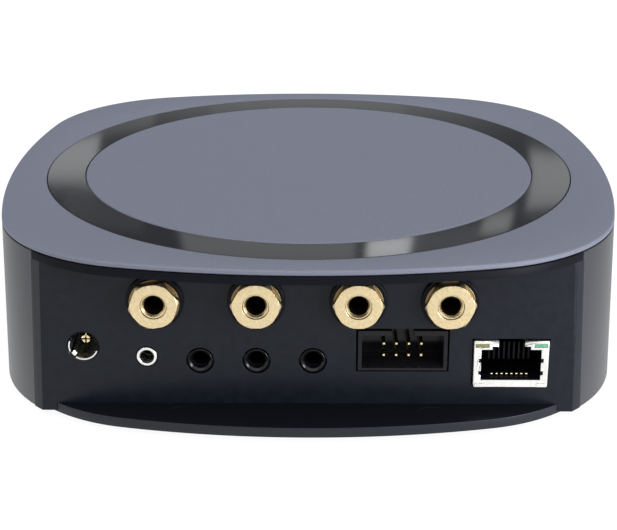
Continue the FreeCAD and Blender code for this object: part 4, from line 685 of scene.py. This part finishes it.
def build_audio_jack(name, x):
    """A jack's countersunk nose in the panel's hole, and its body with the plug's bore behind it."""
    mouth, rim, length, half = 1.85, 2.52, 2, 3.2
    bore, bore_start, bore_length = 1.8, -52.5, 12.6
    profile = [(mouth, 0.4, 0.08), (2.35, 0, 0.1), (rim, 0.1, 0.1), (rim, length, 0), (mouth, length, 0)]
    nose = lathe(f"{name}_nose", soften(profile), (x, PANEL_FACE, JACK_Z))
    body = bar(f"{name}_body", x, half, (PANEL_BACK, span(name, Y)[1]), (BOARD_TOP, span(name, Z)[1]))
    carve(body, [rod(f"{name}_bore", bore, (x, bore_start, JACK_Z), bore_length)])
    jack = merge(f"{name}_visual", [smooth(nose), ease(body, 0.15)])
    dress(jack, "black_plastic", name, "jack_plastic")


def build_header_shroud():
    """Keyed box: a cavity with a bevelled floor, the key's notch in its upper wall, and two nubs below."""
    front, back = span("header_shroud", Y)
    cavity, cavity_back, key = HEADER_HALF - 0.8, -47.4, 2.25
    nub_x, nub_half, nub_front = 6, 1, -49.5
    shroud = bar("header_shroud_visual", HEADER_X, HEADER_HALF, (front, back), (HEADER_LOW, HEADER_TOP))
    openings = (cavity, HEADER_LOW + 1.1, HEADER_TOP - 1.1), (key, HEADER_TOP - 1.2, HEADER_TOP + 1)
    for half, *levels in openings:
        carve(shroud, [bar("opening", HEADER_X, half, (CUT_START, cavity_back), levels)])
    bevel = [rectangle(y, HEADER_X, cavity, HEADER_LOW + floor, HEADER_LOW + 1.2)
             for y, floor in ((front - 0.1, 0.45), (front + 1.3, 1.15))]
    carve(shroud, [skin("bevel", bevel)])
    depths, levels = (nub_front, back), (BOARD_TOP, HEADER_LOW + 0.05)
    nubs = [bar(f"nub_{side}", HEADER_X + side * nub_x, nub_half, depths, levels) for side in (-1, 1)]
    header = merge("header_shroud_visual", [ease(shroud, 0.16, 3), *nubs])
    dress(header, "black_plastic", "header_shroud", "jack_plastic")


def build_header_pins():
    """Two rows of four square pins with tapered tips, each with its leg down to the board."""
    pitch, half, tip, lower_bend = 2.54, 0.32, face_of("header_pins"), -43.2
    centre = (HEADER_LOW + HEADER_TOP) / 2
    pins = []
    for column, row in product((-1.5, -0.5, 0.5, 1.5), (-0.5, 0.5)):
        x, z, bend = HEADER_X + column * pitch, centre + row * pitch, lower_bend + (row + 0.5) * pitch
        sections = ((tip, 0.2), (tip + 0.07, 0.27), (tip + 0.23, half), (bend, half))
        loops = [rectangle(y, x, reach, z - reach, z + reach) for y, reach in sections]
        pins.append(skin(f"pin_{column}_{row}", loops))
        pins.append(bar(f"leg_{column}_{row}", x, half, (bend, bend + 2 * half), (BOARD_TOP, z + half)))
    dress(smooth(merge("header_pins_visual", pins), 20), "gold", "header_pins", "pin_gold")


# Network socket

LAN_ROOF = LAN_LOW + 8.3
LAN_PITCH = 1.016
LENSES = {"lan_led_left": "amber_lens", "lan_led_right": "green_lens"}
LENS_BACK = span("lan_led_left", Y)[1]


def cut_plug_way(item, back, key_back):
    """Cuts the plug's way, the step for its latch and the latch's key, one after another."""
    plug, latch, key = 6.1, 3.9, 2.65
    for half, end, levels in (
        (plug, back, (LAN_LOW + 1.5, LAN_ROOF)),
        (latch, back, (LAN_ROOF - 0.1, LAN_ROOF + 0.7)),
        (key, key_back, (LAN_ROOF + 0.6, LAN_TOP + 1)),
    ):
        carve(item, [bar("way", LAN_X, half, (CUT_START, end), levels)])


def cut_lens_windows(item, back):
    """Cuts an opening for each lens, a little larger than the lens."""
    gap = 0.05
    windows = []
    for node in LENSES:
        (left, right), (low, top) = span(node, X), span(node, Z)
        corners = (left - gap, CUT_START, low - gap), (right + gap, back, top + gap)
        windows.append(block(f"{node}_window", *corners))
    carve(item, windows)


def build_lan_shield():
    """Sheet shield: a hollow box with its mouth, notches beside it, a bent flange and two tabs."""
    sheet, behind, notch_x, notch_half, notch_tall, tab_x = 0.3, -54, 6.25, 0.35, 0.9, 6.3
    shield = bar("lan_shield_visual", LAN_X, LAN_HALF, (LAN_FACE, LAN_BACK), (LAN_LOW, LAN_TOP))
    ease(shield, 0.35, 3)
    inside = (LAN_FACE + sheet, -33), (LAN_LOW + sheet, LAN_TOP - sheet)
    carve(shield, [bar("hollow", LAN_X, LAN_HALF - sheet, *inside)])
    cut_plug_way(shield, behind, CUT_END)
    depths = (CUT_START, behind - 0.2)
    carve(shield, [bar("notch", LAN_X + side * notch_x, notch_half, depths, (z, z + notch_tall))
                   for side in (-1, 1) for z in (10.6, 13.4)])
    cut_lens_windows(shield, behind)
    ease(shield, 0.06)
    depths, levels = (LAN_FACE - 0.22, LAN_FACE + 0.05), (LAN_LOW, LAN_LOW + 0.32)
    flange = bar("flange", LAN_X, LAN_HALF - 0.2, depths, levels)
    depths, levels = (LAN_FACE - 0.3, LAN_FACE - 0.1), (LAN_LOW + 0.02, LAN_LOW + 0.75)
    tabs = [bar(f"tab_{side}", LAN_X + side * tab_x, 1, depths, levels) for side in (-1, 1)]
    bent = [ease(flange, 0.1), *(ease(tab, 0.08) for tab in tabs)]
    dress(merge("lan_shield_visual", [shield, *bent]), "plated_metal", "lan_shield")


def build_lan_insert():
    """Moulded insert with the plug's way, pockets for the lenses and a comb between the contacts."""
    wall, way_end, tooth_half, tooth_low = 0.35, -42.2, 0.2, 12.4
    depths = (LAN_FACE + 0.3, LAN_BACK)
    insert = bar("lan_insert_visual", LAN_X, LAN_HALF - wall, depths, (LAN_LOW + wall, LAN_TOP - wall))
    cut_plug_way(insert, way_end, way_end)
    cut_lens_windows(insert, LENS_BACK)
    ease(insert, 0.08)
    comb = []
    for k in range(9):
        x = LAN_X + (k - 4) * LAN_PITCH
        tooth = bar(f"tooth_{k}", x, tooth_half, (LENS_BACK + 0.1, way_end - 0.1), (tooth_low, LAN_ROOF))
        comb.append(ease(tooth, 0.05))
    # The insert takes the blacker copy as painted shade inside the socket.
    dress(merge("lan_insert_visual", [insert, *comb]), "black_plastic", "lan_insert", "cavity_plastic")


def build_lan_contacts():
    """Eight flat wires that rise from the mouth's floor to the back."""
    half, thin = 0.2, 0.12
    path = [(-52.5, 9.75), (-52.42, 9.86), (-52.2, 9.9), (-48.4, 10.75), (-44.5, 11.62)]
    wires = []
    for k in range(8):
        x = LAN_X + (k - 3.5) * LAN_PITCH
        wires.append(smooth(skin(f"wire_{k}", [rectangle(y, x, half, z - thin, z + thin) for y, z in path])))
    dress(merge("lan_contacts_visual", wires), "gold", "lan_contacts", "pin_gold")


def build_lan_lens(node, slot):
    (left, right), (low, top) = span(node, X), span(node, Z)
    lens = block(f"{node}_visual", (left, LAN_FACE + 0.02, low), (right, LENS_BACK, top))
    dress(ease(lens, 0.12, 3), slot, node)


# Assembly

build_cover()
build_ring()
build_disc()
build_shell()
build_panel()
build_base()
for name, place in FEET.items():
    build_foot(name, *place)
build_case_screws()
for number, x in POST_X.items():
    build_collar(f"post_{number}_collar", x)
    build_barrel(f"post_{number}_barrel", x)
    build_washer(f"post_{number}_washer", x, f"clamp_washer_{number}")
    build_nut(f"post_{number}_nut", x, NUT_TURN[number], f"terminal_nut_{number}")
build_power_inlet()
build_power_sleeve()
build_power_pin()
build_service_socket()
for number, x in JACK_X.items():
    build_audio_jack(f"audio_jack_{number}", x)
build_header_shroud()
build_header_pins()
build_lan_shield()
build_lan_insert()
build_lan_contacts()
for node, slot in LENSES.items():
    build_lan_lens(node, slot)

slots = {part["node"]: part["material_slot"] for part in frame["record"]["subparts"]}
for name, item in frame["nodes"].items():
    item.data.materials.clear()
    item.data.materials.append(FINISH[slots[name]])


# Floor, light and camera


def build_floor():
    """A plain pale floor that shows nearly white."""
    radius, thick = 4000, 0.6
    floor = rod("floor", radius, (0, 0, -thick), thick, True)
    floor.data.materials.append(principled("floor_pale", (0.12, 0.12, 0.12), 0.9, {
        "Emission Color": (1, 1, 1, 1), "Emission Strength": 0.93, "Specular IOR Level": 0.0,
    }))


AMBIENT = 0.12
# Soft lights of the room: direction, the angles in degrees where it fades out and is full, and strength
ROOM_LIGHTS = [
    ((0.1, -0.3, 1), 62, 25, 2.12), ((0, 1, 0.12), 13, 5, 0.4), ((1, -0.1, 0.1), 60, 20, 0.85),
    ((-1, -0.1, 0.1), 60, 20, 1.0),
]
# Lit panels behind the object, which its gloss ring mirrors: the middle and half width of the tangent of the
# bearing from +Y, the middle and half height of the tangent of the elevation, and the brightness
ROOM_PANELS = [
    (-0.0075, 0.0675, 0.278, 0.017, 0.06), (-0.16, 0.045, 0.278, 0.016, 0.2), (-0.18, 0.026, 0.311, 0.018, 1),
    (-0.155, 0.03, 0.354, 0.013, 0.1), (-0.036, 0.063, 0.38, 0.024, 0.48), (0.051, 0.016, 0.38, 0.019, 2.15),
    (0.092, 0.024, 0.376, 0.019, 0.22), (0.128, 0.011, 0.36, 0.012, 0.9), (0.175, 0.027, 0.327, 0.022, 0.85),
]


def arithmetic(tree, operation, *numbers):
    """A math node over sockets and numbers; gives its result's socket."""
    node = tree.nodes.new("ShaderNodeMath")
    node.operation = operation
    for slot, number in enumerate(numbers):
        if isinstance(number, (int, float)):
            node.inputs[slot].default_value = number
        else:
            tree.links.new(number, node.inputs[slot])
    return node.outputs["Value"]


def fade(tree, number, none, full, strength=1.0):
    """Rises smoothly from 0, where the number is none, to strength, where it is full."""
    node = tree.nodes.new("ShaderNodeMapRange")
    node.interpolation_type = "SMOOTHSTEP"
    node.inputs["From Min"].default_value = none
    node.inputs["From Max"].default_value = full
    node.inputs["To Max"].default_value = strength
    tree.links.new(number, node.inputs["Value"])
    return node.outputs["Result"]


def room_light(tree, direction, toward, wide, narrow, strength):
    """Brightness of one soft light by direction."""
    dot = tree.nodes.new("ShaderNodeVectorMath")
    dot.operation = "DOT_PRODUCT"
    dot.inputs[1].default_value = Vector(toward).normalized()
    tree.links.new(direction, dot.inputs[0])
    limits = [math.cos(math.radians(angle)) for angle in (wide, narrow)]
    return fade(tree, dot.outputs["Value"], *limits, strength)


def room_panel(tree, slopes, across, half_width, up, half_height, strength):
    """Brightness of one panel by direction, with slightly soft edges."""
    edge = 0.003
    inside = []
    for slope, centre, half in zip(slopes, (across, up), (half_width, half_height)):
        away = arithmetic(tree, "ABSOLUTE", arithmetic(tree, "SUBTRACT", slope, centre))
        inside.append(fade(tree, away, half + edge, half - edge))
    return arithmetic(tree, "MULTIPLY", arithmetic(tree, "MULTIPLY", *inside), strength)


def build_world():
    """A studio room as a field of brightness by direction."""
    world = bpy.data.worlds.new("studio")
    bpy.context.scene.world = world
    world.use_nodes = True
    tree = world.node_tree
    direction = tree.nodes.new("ShaderNodeTexCoord").outputs["Generated"]
    total = AMBIENT
    for light in ROOM_LIGHTS:
        total = arithmetic(tree, "ADD", total, room_light(tree, direction, *light))
    parts = tree.nodes.new("ShaderNodeSeparateXYZ")
    tree.links.new(direction, parts.inputs["Vector"])
    slopes = [arithmetic(tree, "DIVIDE", parts.outputs[axis], parts.outputs["Y"]) for axis in ("X", "Z")]
    for panel in ROOM_PANELS:
        total = arithmetic(tree, "ADD", total, room_panel(tree, slopes, *panel))
    tree.links.new(total, tree.nodes["Background"].inputs["Strength"])
    tree.nodes["Background"].inputs["Color"].default_value = (0.97, 0.985, 1.0, 1)


def build_lamp():
    """A soft box near the right end of the connector side."""
    data = bpy.data.lights.new("soft_box", "AREA")
    data.shape, data.size, data.energy = "DISK", 0.1, 0.4
    data.color = (0.88, 0.93, 1.0)
    lamp = bpy.data.objects.new("soft_box", data)
    lamp.location = (0.17, -0.18, 0.03)
    aim = Vector((0.04, -0.06, 0.015)) - lamp.location
    lamp.rotation_euler = aim.to_track_quat("-Z", "Y").to_euler()
    bpy.context.scene.collection.objects.link(lamp)


def build_camera():
    """The camera at the photograph's place; its turn is a tilt from straight down and a bearing."""
    tilt, bearing = 68.6, 0.41
    data = bpy.data.cameras.new("camera")
    data.sensor_width, data.lens, data.clip_start = 36, 86.31, 0.01
    camera = bpy.data.objects.new("camera", data)
    camera.location = (0.002259, -0.32776, 0.14165)
    camera.rotation_euler = (math.radians(tilt), 0, math.radians(bearing))
    bpy.context.scene.collection.objects.link(camera)
    bpy.context.scene.camera = camera


build_floor()
build_world()
build_lamp()
build_camera()
bpy.context.scene.view_settings.view_transform = "Standard"
